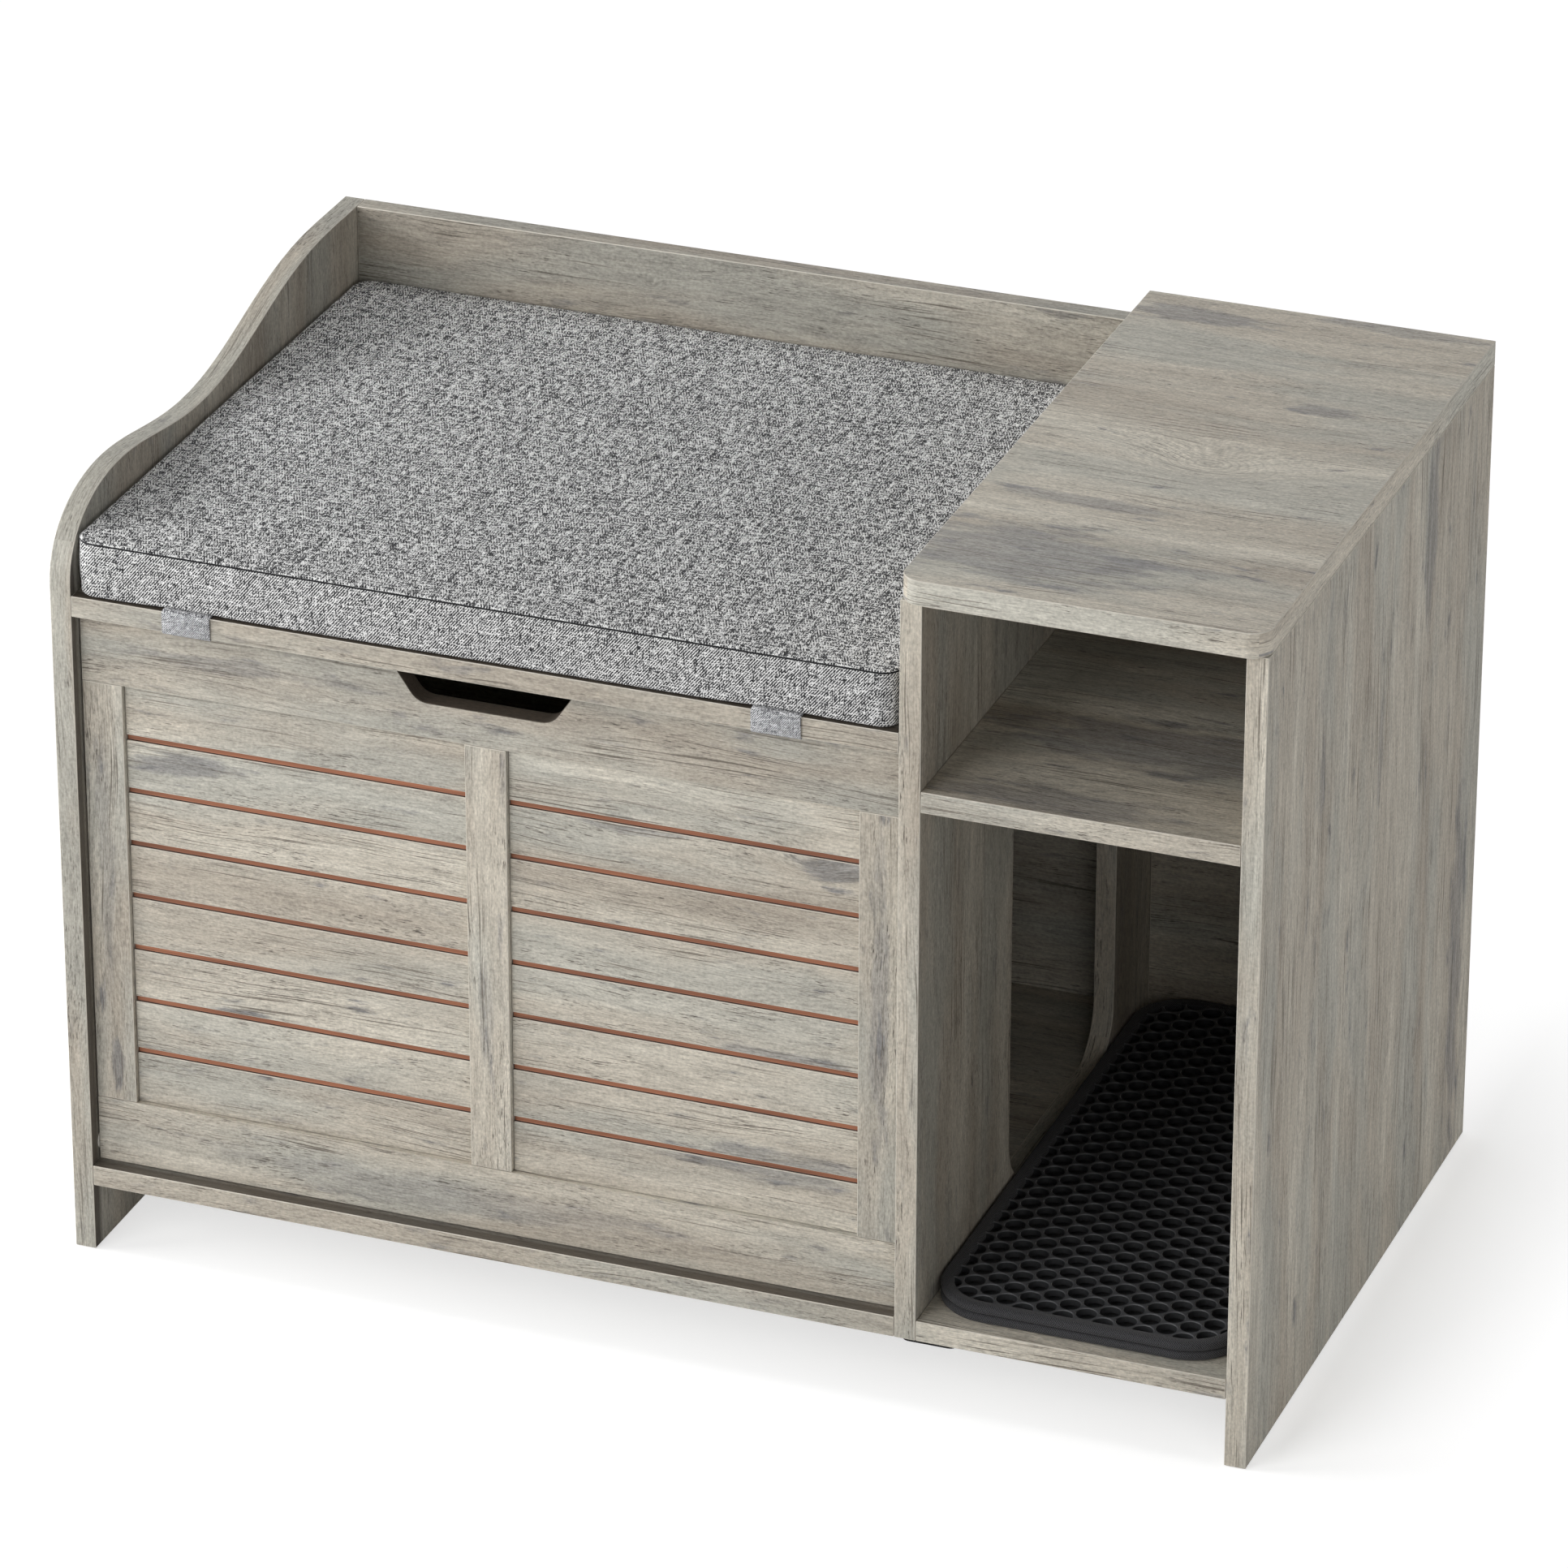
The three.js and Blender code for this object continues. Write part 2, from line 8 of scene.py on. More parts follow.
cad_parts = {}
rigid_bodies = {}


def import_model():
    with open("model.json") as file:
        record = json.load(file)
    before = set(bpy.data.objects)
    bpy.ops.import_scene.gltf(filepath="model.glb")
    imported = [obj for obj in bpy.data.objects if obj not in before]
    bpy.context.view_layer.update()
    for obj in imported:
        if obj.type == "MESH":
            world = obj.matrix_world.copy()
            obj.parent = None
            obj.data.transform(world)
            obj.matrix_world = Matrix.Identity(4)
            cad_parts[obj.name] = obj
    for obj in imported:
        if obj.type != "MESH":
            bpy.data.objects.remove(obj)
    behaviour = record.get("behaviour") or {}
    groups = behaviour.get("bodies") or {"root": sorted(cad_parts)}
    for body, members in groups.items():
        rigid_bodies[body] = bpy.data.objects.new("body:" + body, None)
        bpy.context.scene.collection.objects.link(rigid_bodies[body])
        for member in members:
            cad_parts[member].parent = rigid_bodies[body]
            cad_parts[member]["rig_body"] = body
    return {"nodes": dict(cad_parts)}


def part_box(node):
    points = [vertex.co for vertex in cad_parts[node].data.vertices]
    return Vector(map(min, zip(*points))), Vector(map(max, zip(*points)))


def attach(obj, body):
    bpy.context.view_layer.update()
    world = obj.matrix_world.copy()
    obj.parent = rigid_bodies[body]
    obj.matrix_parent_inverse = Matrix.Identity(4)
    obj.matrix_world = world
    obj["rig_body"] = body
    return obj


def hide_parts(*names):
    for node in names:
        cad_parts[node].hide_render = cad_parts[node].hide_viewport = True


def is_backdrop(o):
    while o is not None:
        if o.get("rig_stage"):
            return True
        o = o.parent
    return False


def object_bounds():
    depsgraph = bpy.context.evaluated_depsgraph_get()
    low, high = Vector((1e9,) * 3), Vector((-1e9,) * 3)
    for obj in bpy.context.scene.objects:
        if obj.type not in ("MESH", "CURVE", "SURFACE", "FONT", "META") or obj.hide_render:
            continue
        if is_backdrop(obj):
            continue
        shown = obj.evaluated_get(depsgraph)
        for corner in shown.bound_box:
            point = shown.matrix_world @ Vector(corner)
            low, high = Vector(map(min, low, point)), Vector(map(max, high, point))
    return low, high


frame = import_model()
cadLow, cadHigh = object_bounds()
scene = bpy.context.scene
print("frame loaded:", len(frame["nodes"]), "nodes")


# helpers
def linear(hexColour, tone=1.0):
    # sRGB hex to linear RGBA, times tone
    parts = [int(hexColour[i:i + 2], 16) / 255 for i in (1, 3, 5)]
    made = [c / 12.92 if c <= 0.04045 else ((c + 0.055) / 1.055) ** 2.4 for c in parts]
    return (*[min(1.0, c * tone) for c in made], 1.0)


def addNode(tree, kind, inputs=None, output=0, **settings):
    # adds a node, sets its options, fills or links its inputs and gives back one output
    node = tree.nodes.new(kind)
    for key, value in settings.items():
        setattr(node, key, value)
    for key, value in (inputs or {}).items():
        if isinstance(value, bpy.types.NodeSocket):
            tree.links.new(value, node.inputs[key])
        else:
            node.inputs[key].default_value = value
    return node.outputs[output]


def newMaterial(name):
    material = bpy.data.materials.new(name)
    material.use_nodes = True
    material.node_tree.nodes.clear()
    return material, material.node_tree


def finishMaterial(tree, inputs):
    shader = addNode(tree, "ShaderNodeBsdfPrincipled", inputs)
    end = tree.nodes.new("ShaderNodeOutputMaterial")
    tree.links.new(shader, end.inputs["Surface"])


def fillRamp(ramp, stops):
    # stops are (place, colour), lowest first
    for place, colour in stops[1:-1]:
        ramp.elements.new(place).color = colour
    for element, stop in ((ramp.elements[0], stops[0]), (ramp.elements[-1], stops[-1])):
        element.position, element.color = stop


def speckledMaterial(name, tones, sizes, detail, roughness):
    # a dark and a light tone in a fine, uneven mix. sizes is a speckle's size along x, y and z in mm
    material, tree = newMaterial(name)
    dark, light = map(linear, tones)
    coordinates = addNode(tree, "ShaderNodeTexCoord", output="Object")
    place = addNode(tree, "ShaderNodeVectorMath", {
        0: coordinates, 1: [1000 / size for size in sizes],
    }, operation="MULTIPLY")
    mix = addNode(tree, "ShaderNodeTexNoise", {"Vector": place, "Scale": 1.0, "Detail": detail})
    tint = addNode(tree, "ShaderNodeMix", {0: mix, 6: dark, 7: light}, output=2, data_type="RGBA")
    finishMaterial(tree, {"Base Color": tint, "Roughness": roughness})
    return material


def placePiece(name, mesh, body, replaced):
    piece = bpy.data.objects.new(name, mesh)
    scene.collection.objects.link(piece)
    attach(piece, body)
    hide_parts(*replaced)
    return piece


def ringMesh(name, rings, closedLoop=False):
    # a smooth skin over rings, an array of (rows, points, 3): quads join each closed row to the next one, and
    # fans shut the ends, or the last row joins the first
    rows, points = rings.shape[:2]
    index = np.arange(rows * points).reshape(rows, points)
    below, above = (index, np.roll(index, -1, axis=0)) if closedLoop else (index[:-1], index[1:])
    corners = [below, np.roll(below, -1, axis=1), np.roll(above, -1, axis=1), above]
    faces = np.stack(corners, -1).reshape(-1, 4).tolist()
    verts = rings.reshape(-1, 3)
    if not closedLoop:
        first, last = len(verts), len(verts) + 1
        verts = np.concatenate([verts, [rings[0].mean(0), rings[-1].mean(0)]])
        faces += [[first, int(b), int(a)] for a, b in zip(index[0], np.roll(index[0], -1))]
        faces += [[last, int(a), int(b)] for a, b in zip(index[-1], np.roll(index[-1], -1))]
    mesh = bpy.data.meshes.new(name)
    mesh.from_pydata(verts.tolist(), [], faces)
    work = bmesh.new()
    work.from_mesh(mesh)
    bmesh.ops.recalc_face_normals(work, faces=work.faces)
    work.to_mesh(mesh)
    work.free()
    mesh.shade_smooth()
    return mesh


def roundedOutline(low, high, radius, straightStep, cornerSteps):
    # points of a rounded rectangle, anticlockwise from the front right corner, with outward normals
    left, front = low[0] + radius, low[1] + radius
    right, rear = high[0] - radius, high[1] - radius
    centres = np.array([(right, front), (right, rear), (left, rear), (left, front)])
    points, normals = [], []
    for corner, (centre, nextCentre) in enumerate(zip(centres, np.roll(centres, -1, axis=0))):
        turn = (corner - 1) * math.pi / 2 + np.linspace(0, math.pi / 2, cornerSteps + 1)
        arc = np.stack([np.cos(turn), np.sin(turn)], -1)
        start, end = centre + radius * arc[-1], nextCentre + radius * arc[-1]
        count = max(2, int(np.linalg.norm(end - start) / straightStep))
        share = np.linspace(0, 1, count + 1)[1:-1, None]
        points += [centre + radius * arc, start + (end - start) * share]
        normals += [arc, np.repeat(arc[-1:], len(share), axis=0)]
    return np.concatenate(points), np.concatenate(normals)


# camera: turns in degrees, place in metres, lens and sensor in mm
camera = {
    "azimuth": 20.7437,
    "elevation": 26.1260,
    "roll": 0.0885,
    "place": (1.84193, -4.85026, 2.86115),
    "lens": 193.85,
    "sensor": 36,
    "clip": (0.1, 60),
}

cameraData = bpy.data.cameras.new("camera")
cameraData.lens = camera["lens"]
cameraData.sensor_width = camera["sensor"]
cameraData.clip_start, cameraData.clip_end = camera["clip"]
cameraPiece = bpy.data.objects.new("camera", cameraData)
scene.collection.objects.link(cameraPiece)
cameraPiece.matrix_world = (
    Matrix.Translation(camera["place"])
    @ Matrix.Rotation(math.radians(camera["azimuth"]), 4, "Z")
    @ Matrix.Rotation(math.radians(90 - camera["elevation"]), 4, "X")
    @ Matrix.Rotation(math.radians(camera["roll"]), 4, "Z")
)
scene.camera = cameraPiece
scene.view_settings.view_transform = "Standard"

# studio light: a faint sky, shown as plain white, and six soft boxes, with sizes and places in metres
sky = {"colour": "#FFFFFF", "strength": 0.03}
lamps = {
    "key": {"watts": 60, "size": (2.2, 1.9), "place": (-1.42, -2.85, 1.75), "aim": (0.0, 0.0, 0.30)},
    "left": {"watts": 66, "size": (1.6, 1.2), "place": (-2.8, -0.8, 1.40), "aim": (0.0, 0.0, 0.30)},
    "right": {"watts": 21, "size": (2.0, 1.5), "place": (1.9, -2.8, 1.20), "aim": (0.0, 0.0, 0.30)},
    "top": {"watts": 17, "size": (2.0, 1.4), "place": (-0.1, 0.75, 2.70), "aim": (0.0, 0.0, 0.50)},
    "side": {"watts": 14, "size": (1.6, 0.6), "place": (2.5, 0.35, 0.40), "aim": (0.42, 0.0, 0.30)},
    "rear": {"watts": 18, "size": (2.0, 0.8), "place": (-0.2, 3.0, 0.50), "aim": (0.0, 0.0, 0.30)},
}

world = bpy.data.worlds.new("studio")
scene.world = world
world.use_nodes = True
tree = world.node_tree
tree.nodes.clear()
addNode(tree, "ShaderNodeLightPath")
rays = tree.nodes[-1].outputs
seen = rays["Is Camera Ray"]
for kind in ("Is Glossy Ray", "Is Transmission Ray"):
    seen = addNode(tree, "ShaderNodeMath", {0: seen, 1: rays[kind]}, operation="MAXIMUM")
glow = addNode(tree, "ShaderNodeBackground", {"Color": linear(sky["colour"]), "Strength": sky["strength"]})
white = addNode(tree, "ShaderNodeBackground", {"Color": (1, 1, 1, 1), "Strength": 1.0})
mixed = addNode(tree, "ShaderNodeMixShader", {0: seen, 1: glow, 2: white})
end = tree.nodes.new("ShaderNodeOutputWorld")
tree.links.new(mixed, end.inputs["Surface"])

for name, lamp in lamps.items():
    lampData = bpy.data.lights.new(name + "_softbox", "AREA")
    lampData.energy = lamp["watts"]
    lampData.shape = "RECTANGLE"
    lampData.size, lampData.size_y = lamp["size"]
    lampPiece = bpy.data.objects.new(name + "_softbox", lampData)
    scene.collection.objects.link(lampPiece)
    lampPiece.location = lamp["place"]
    direction = Vector(lamp["aim"]) - Vector(lamp["place"])
    lampPiece.rotation_euler = direction.to_track_quat("-Z", "Y").to_euler()
    lampPiece.visible_camera = False

# white studio floor: reach and height in metres, the rest as shares of full shadow and of white
floor = {
    "reach": 6.0,
    "height": -0.0006,
    "tone": 0.80,
    "shadow": 1.0,
    "shadowFar": 0.05,
    "shadowUnder": 0.50,
    "white": 0.62,
    "lift": 1.03,
    "paintedContactShade": 0.08,
}

floorMesh = bpy.data.meshes.new("floor")
reach = floor["reach"]
floorCorners = [(x * reach, y * reach, floor["height"]) for x, y in ((-1, -1), (1, -1), (1, 1), (-1, 1))]
floorMesh.from_pydata(floorCorners, [], [(0, 1, 2, 3)])
floorPiece = bpy.data.objects.new("floor", floorMesh)
scene.collection.objects.link(floorPiece)
floorPiece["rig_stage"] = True
material, tree = newMaterial("white studio floor")
addNode(tree, "ShaderNodeLightPath")
seen = tree.nodes[-1].outputs["Is Camera Ray"]
matt = addNode(tree, "ShaderNodeBsdfDiffuse", {"Color": (floor["tone"],) * 3 + (1,)})
addNode(tree, "ShaderNodeSeparateXYZ", {0: addNode(tree, "ShaderNodeTexCoord", output="Object")})
rightward, backward = tree.nodes[-1].outputs[:2]
# the shadow shows fully beside the cabinet, fades further off on every side, and is faint under it:
# (direction, where the shadow is only this share, where it is full, the share)
shadow = floor["shadow"]
for way, weakAt, fullAt, share in (
    (rightward, cadHigh.x + 0.15, cadHigh.x + 0.015, floor["shadowFar"]),
    (rightward, cadHigh.x - 0.025, cadHigh.x + 0.015, floor["shadowUnder"]),
    (backward, cadHigh.y + 0.25, cadHigh.y, floor["shadowFar"]),
    (backward, cadLow.y - 1.0, cadLow.y - 0.6, floor["shadowFar"]),
    (rightward, cadLow.x - 1.0, cadLow.x - 0.6, floor["shadowFar"]),
):
    shadow = addNode(tree, "ShaderNodeMapRange", {0: way, 1: weakAt, 2: fullAt, 3: share, 4: shadow})
# the footprint's four sides: (direction, just outside, just inside)
footprint = 1.0
for way, outside, inside in (
    (rightward, cadLow.x - 0.01, cadLow.x),
    (rightward, cadHigh.x + 0.005, cadHigh.x - 0.025),
    (backward, cadLow.y, cadLow.y + 0.012),
    (backward, cadHigh.y, cadHigh.y - 0.02),
):
    within = addNode(tree, "ShaderNodeMapRange", {0: way, 1: outside, 2: inside})
    footprint = addNode(tree, "ShaderNodeMath", {0: footprint, 1: within}, operation="MULTIPLY")
# an unshaded floor adds up to a little over white, and the footprint is a little greyer, a faint painted
# shade under the cabinet
lift = addNode(tree, "ShaderNodeMath", {
    0: shadow, 1: -floor["white"], 2: floor["lift"],
}, operation="MULTIPLY_ADD")
lift = addNode(tree, "ShaderNodeMath", {
    0: footprint, 1: -floor["paintedContactShade"], 2: lift,
}, operation="MULTIPLY_ADD")
shine = addNode(tree, "ShaderNodeEmission", {"Color": (1, 1, 1, 1), "Strength": lift})
shownMatt = addNode(tree, "ShaderNodeBsdfDiffuse", {"Color": shadow})
shown = addNode(tree, "ShaderNodeAddShader", {0: shownMatt, 1: shine})
mixed = addNode(tree, "ShaderNodeMixShader", {0: seen, 1: matt, 2: shown})
end = tree.nodes.new("ShaderNodeOutputMaterial")
tree.links.new(mixed, end.inputs["Surface"])
floorMesh.materials.append(material)
print("camera, light and floor done")

# wood-grain laminate
laminate = {
    "colours": {
        "deep": "#A0978A",
        "middle": "#ADA598",
        "light": "#B6AFA2",
        "pale": "#C6C0B3",
        "cool": "#A5A59D",
        "line": "#655D53",
        "smudge": "#7B7A7A",
        "pore": "#4F473F",
        # painted shade: the dark brown that set-back faces are darkened towards
        "recess": "#3C342C",
    },
    # noise level of each ground colour
    "ground": {"deep": 0.30, "middle": 0.45, "light": 0.56, "pale": 0.70},
    # how long and how wide each layer of the print is, in mm, and its octaves
    "layers": {
        "bands": (420, 38, 2),
        "coolPatches": (260, 60, 2),
        "lines": (110, 1.15, 1),
        "lineZones": (130, 26, 2),
        "streaks": (34, 4.2, 2),
        "fibres": (8, 0.9, 2),
        "grain": (2.6, 1.6, 2),
        "pores": (9, 0.8, 2),
        "poreZones": (70, 14, 2),
        "smudges": (46, 11, 4),
    },
    # noise level where a layer starts and where it is complete, and its share at both
    "shares": {
        "coolPatches": (0.46, 0.60, 0.0, 0.62),
        "smudges": (0.60, 0.70, 0.0, 0.55),
        "lines": (0.58, 0.64, 0.0, 0.85),
        "lineZones": (0.49, 0.60, 0.08, 1.0),
        "pores": (0.59, 0.66, 0.0, 0.85),
        "poreZones": (0.48, 0.62, 0.12, 1.0),
    },
    # how far each layer lightens and darkens the print
    "contrast": {"streaks": 0.16, "fibres": 0.24, "grain": 0.22},
    "roughness": (0.62, 0.45),
    "bumpHeight": 0.00010,
    # slow drift of the grain from side to side: length, width and how far, in mm
    "drift": (240, 60, 20.0),
    # an edge takes its print this far off the face's, in mm
    "edgeShift": 70.0,
    "smudgeLimit": 0.9,
    # how far a knot spreads the grain, as a share of its half width, and the gap of its rings in mm
    "knotSpread": 0.9,
    "ringGap": 3.4,
    "ringWaver": 9.0,
    "ringShare": 0.34,
    "coreShare": 0.22,
}


def boardPlace(tree, board):
    # place on the board in mm, as length along the grain and width across it, whether it lies on an edge, and
    # how far the surface faces the way the board's face does
    along, face = board["grain"], board["face"]
    across = next(a for a in "xyz" if a not in (along, face))
    coordinates = addNode(tree, "ShaderNodeTexCoord", output="Object")
    normal = tree.nodes[-1].outputs["Normal"]
    millimetres = addNode(tree, "ShaderNodeVectorMath", {0: coordinates, "Scale": 1000.0}, operation="SCALE")
    addNode(tree, "ShaderNodeSeparateXYZ", {0: millimetres})
    place = dict(zip("xyz", tree.nodes[-1].outputs))
    addNode(tree, "ShaderNodeSeparateXYZ", {0: normal})
    facing = dict(zip("xyz", tree.nodes[-1].outputs))
    # on an edge the print runs along the edge, as on real edge banding
    flatness = addNode(tree, "ShaderNodeMath", {0: facing[face]}, operation="ABSOLUTE")
    onEdge = addNode(tree, "ShaderNodeMath", {0: flatness, 1: 0.5}, operation="LESS_THAN")
    endness = addNode(tree, "ShaderNodeMath", {0: facing[along]}, operation="ABSOLUTE")
    onEnd = addNode(tree, "ShaderNodeMath", {0: endness, 1: 0.6}, operation="GREATER_THAN")
    depth = addNode(tree, "ShaderNodeMath", {0: place[face], 1: laminate["edgeShift"]}, operation="ADD")
    length = addNode(tree, "ShaderNodeMix", {0: onEnd, 2: place[along], 3: place[across]}, data_type="FLOAT")
    width = addNode(tree, "ShaderNodeMix", {0: onEdge, 2: place[across], 3: depth}, data_type="FLOAT")
    return length, width, onEdge, facing[face]


def boardHills(tree, flat, board):
    # bell-shaped hills, e to the power of minus the squared distance: a knot lifts the grain into closed
    # rings, a stain darkens a patch, a pale one lightens it and a painted shade browns the part of the upper
    # or right-hand face that lies set back behind another part, where shade falls
    hills = {"knots": [], "stains": [], "pales": [], "paintedShades": []}
    for kind, found in hills.items():
        for spot in board.get(kind, ()):
            spotAlong, spotAcross, long, wide = spot[:4]
            local = addNode(tree, "ShaderNodeVectorMath", {
                0: flat, 1: (1 / long, 1 / wide, 0), 2: (-spotAlong / long, -spotAcross / wide, 0),
            }, operation="MULTIPLY_ADD")
            addNode(tree, "ShaderNodeVectorMath", {0: local, 1: local}, operation="DOT_PRODUCT")
            squared = tree.nodes[-1].outputs["Value"]
            falling = addNode(tree, "ShaderNodeMath", {0: squared, 1: -1.0}, operation="MULTIPLY")
            hill = addNode(tree, "ShaderNodeMath", {0: falling}, operation="EXPONENT")
            found.append((hill, squared, spot))
    return hills


def printFields(tree, flat, length, width, hills, board):
    # one noise for each layer of the print, along a grain that drifts and spreads round the knots
    shift = board["shift"]
    for hill, squared, spot in hills["knots"]:
        width = addNode(tree, "ShaderNodeMath", {
            0: hill, 1: laminate["knotSpread"] * spot[3], 2: width,
        }, operation="MULTIPLY_ADD")
    long, wide, far = laminate["drift"]
    driftPlace = addNode(tree, "ShaderNodeVectorMath", {
        0: flat, 1: (1 / long, 1 / wide, 0), 2: (0, 0, shift),
    }, operation="MULTIPLY_ADD")
    drift = addNode(tree, "ShaderNodeTexNoise", {"Vector": driftPlace, "Scale": 1.0, "Detail": 2.0})
    width = addNode(tree, "ShaderNodeMath", {0: drift, 1: far, 2: width}, operation="MULTIPLY_ADD")
    grain = addNode(tree, "ShaderNodeCombineXYZ", {0: length, 1: width, 2: 0.0})
    field = {}
    for number, (layer, (long, wide, octaves)) in enumerate(laminate["layers"].items()):
        if layer in ("streaks", "fibres", "pores"):
            long *= board.get("stretch", 1.0)
        layerPlace = addNode(tree, "ShaderNodeVectorMath", {
            0: grain, 1: (1 / long, 1 / wide, 0), 2: (0, 0, shift * 1.7 + number * 4.3),
        }, operation="MULTIPLY_ADD")
        field[layer] = addNode(tree, "ShaderNodeTexNoise", {
            "Vector": layerPlace, "Scale": 1.0, "Detail": float(octaves), "Roughness": 0.6,
        })
    return field


def printShares(tree, field, hills):
    # how strongly each layer's colour shows, from 0 to 1
    share = {}
    for layer, span in laminate["shares"].items():
        share[layer] = addNode(tree, "ShaderNodeMapRange", {0: field[layer], **dict(enumerate(span, 1))})
    # a stain's outline is torn by the smudge noise, so it ends in ragged, fairly sharp edges
    smudge = share["smudges"]
    for hill, squared, spot in hills["stains"]:
        torn = addNode(tree, "ShaderNodeMath", {
            0: field["smudges"], 1: 2.0, 2: -1.0,
        }, operation="MULTIPLY_ADD")
        torn = addNode(tree, "ShaderNodeMath", {0: torn, 1: hill}, operation="ADD")
        patch = addNode(tree, "ShaderNodeMapRange", {0: torn, 1: 0.34, 2: 0.66})
        smudge = addNode(tree, "ShaderNodeMath", {0: patch, 1: spot[4], 2: smudge}, operation="MULTIPLY_ADD")
    smudge = addNode(tree, "ShaderNodeClamp", {0: smudge, 1: 0.0, 2: laminate["smudgeLimit"]})
    share["smudges"] = smudge
    # lines and pores gather in their zones and in the smudges
    for layer, zone in (("lines", "lineZones"), ("pores", "poreZones")):
        near = addNode(tree, "ShaderNodeMath", {0: share[zone], 1: smudge}, operation="MAXIMUM")
        share[layer] = addNode(tree, "ShaderNodeMath", {0: share[layer], 1: near}, operation="MULTIPLY")
    # growth rings round a knot, a little wavy, and its dark core
    for hill, squared, spot in hills["knots"]:
        radius = addNode(tree, "ShaderNodeMath", {0: squared}, operation="SQRT")
        turns = 2 * math.pi * spot[3] / laminate["ringGap"]
        turn = addNode(tree, "ShaderNodeMath", {0: radius, 1: turns}, operation="MULTIPLY")
        turn = addNode(tree, "ShaderNodeMath", {
            0: field["smudges"], 1: laminate["ringWaver"], 2: turn,
        }, operation="MULTIPLY_ADD")
        ring = addNode(tree, "ShaderNodeMath", {0: turn}, operation="SINE")
        ring = addNode(tree, "ShaderNodeMapRange", {0: ring, 1: 0.2, 2: 1.0, 4: laminate["ringShare"]})
        ring = addNode(tree, "ShaderNodeMath", {0: ring, 1: hill}, operation="MULTIPLY")
        core = addNode(tree, "ShaderNodeMapRange", {0: hill, 1: 0.95, 2: 1.0, 4: laminate["coreShare"]})
        for layer, mark in (("lines", ring), ("pores", core)):
            share[layer] = addNode(tree, "ShaderNodeMath", {0: share[layer], 1: mark}, operation="MAXIMUM")
    return share


def laminateMaterial(name, board):
    # printed oak laminate: pale grey-beige with cool and warm bands, thin dark lines, short flecks and ragged
    # blue-grey smudges
    material, tree = newMaterial(name)
    length, width, onEdge, faceward = boardPlace(tree, board)
    flat = addNode(tree, "ShaderNodeCombineXYZ", {0: length, 1: width, 2: 0.0})
    hills = boardHills(tree, flat, board)
    field = printFields(tree, flat, length, width, hills, board)
    share = printShares(tree, field, hills)
    # the colours go over each other in this order
    tone = board.get("tone", 1.0)
    colours = {key: linear(value, tone) for key, value in laminate["colours"].items()}
    ground = addNode(tree, "ShaderNodeValToRGB", {0: field["bands"]})
    fillRamp(tree.nodes[-1].color_ramp, [(level, colours[key]) for key, level in laminate["ground"].items()])
    veils = [(share["coolPatches"], "cool")]
    for hill, squared, spot in hills["pales"]:
        veils.append((addNode(tree, "ShaderNodeMath", {0: hill, 1: spot[4]}, operation="MULTIPLY"), "pale"))
    veils += [(share["smudges"], "smudge"), (share["lines"], "line"), (share["pores"], "pore")]
    for veil, key in veils:
        ground = addNode(tree, "ShaderNodeMix", {
            0: veil, 6: ground, 7: colours[key],
        }, output=2, data_type="RGBA")
    # the layers' light and dark add up to one brightness, in which edges may differ from faces
    value = addNode(tree, "ShaderNodeMapRange", {0: onEdge, 3: 1.0, 4: board.get("edgeTone", 1.0)})
    for layer, contrast in laminate["contrast"].items():
        swing = addNode(tree, "ShaderNodeMapRange", {
            0: field[layer], 1: 0.25, 2: 0.75, 3: -contrast, 4: contrast,
        }, clamp=False)
        value = addNode(tree, "ShaderNodeMath", {0: value, 1: swing}, operation="ADD")
    ground = addNode(tree, "ShaderNodeHueSaturation", {"Value": value, "Color": ground})
    # painted shade: inside each such hill the upper or right-hand face is darkened towards the shade brown
    for hill, squared, spot in hills["paintedShades"]:
        facingUp = addNode(tree, "ShaderNodeMath", {0: faceward, 1: 0.5}, operation="GREATER_THAN")
        veil = addNode(tree, "ShaderNodeMapRange", {0: hill, 1: 0.40, 2: 0.75, 4: spot[4]})
        veil = addNode(tree, "ShaderNodeMath", {0: veil, 1: facingUp}, operation="MULTIPLY")
        ground = addNode(tree, "ShaderNodeMix", {
            0: veil, 6: ground, 7: colours["recess"],
        }, output=2, data_type="RGBA")
    rough, smooth = laminate["roughness"]
    roughness = addNode(tree, "ShaderNodeMapRange", {0: field["fibres"], 1: 0.3, 2: 0.7, 3: rough, 4: smooth})
    relief = addNode(tree, "ShaderNodeMath", {0: field["grain"], 1: share["pores"]}, operation="SUBTRACT")
    bump = addNode(tree, "ShaderNodeBump", {
        "Height": relief, "Distance": laminate["bumpHeight"], "Strength": 1.0,
    })
    finishMaterial(tree, {
        "Base Color": ground, "Roughness": roughness, "Normal": bump, "Specular IOR Level": 0.35,
    })
    return material


# bare board edge inside the hand cut-out: dark brown chipboard, in short dark and light chips
chipSize = (3.846, 1.667, 1.667)  # mm
recessMaterial = speckledMaterial("dark brown chipboard edge", ("#1F1A16", "#584D41"), chipSize, 3.0, 0.7)

# painted highlight along a board's arrises: nearly white, with slight breaks
arrisHighlightMaterial = speckledMaterial("laminate arris, painted highlight", ("#B3AC9F", "#DAD5CA"), (6.25,) * 3, 3.0, 0.5)

# lower groove wall, the one that faces up: painted shade, near black with a little uneven speckle
grooveShadeMaterial = speckledMaterial("groove wall, painted shade", ("#1B1410", "#3A2A20"), (4.545,) * 3, 2.0, 0.7)

# streak sizes in mm
groovePaint = {"tones": ("#784B35", "#A96E50"), "streakLength": 111.1, "streakWidth": 1.111}


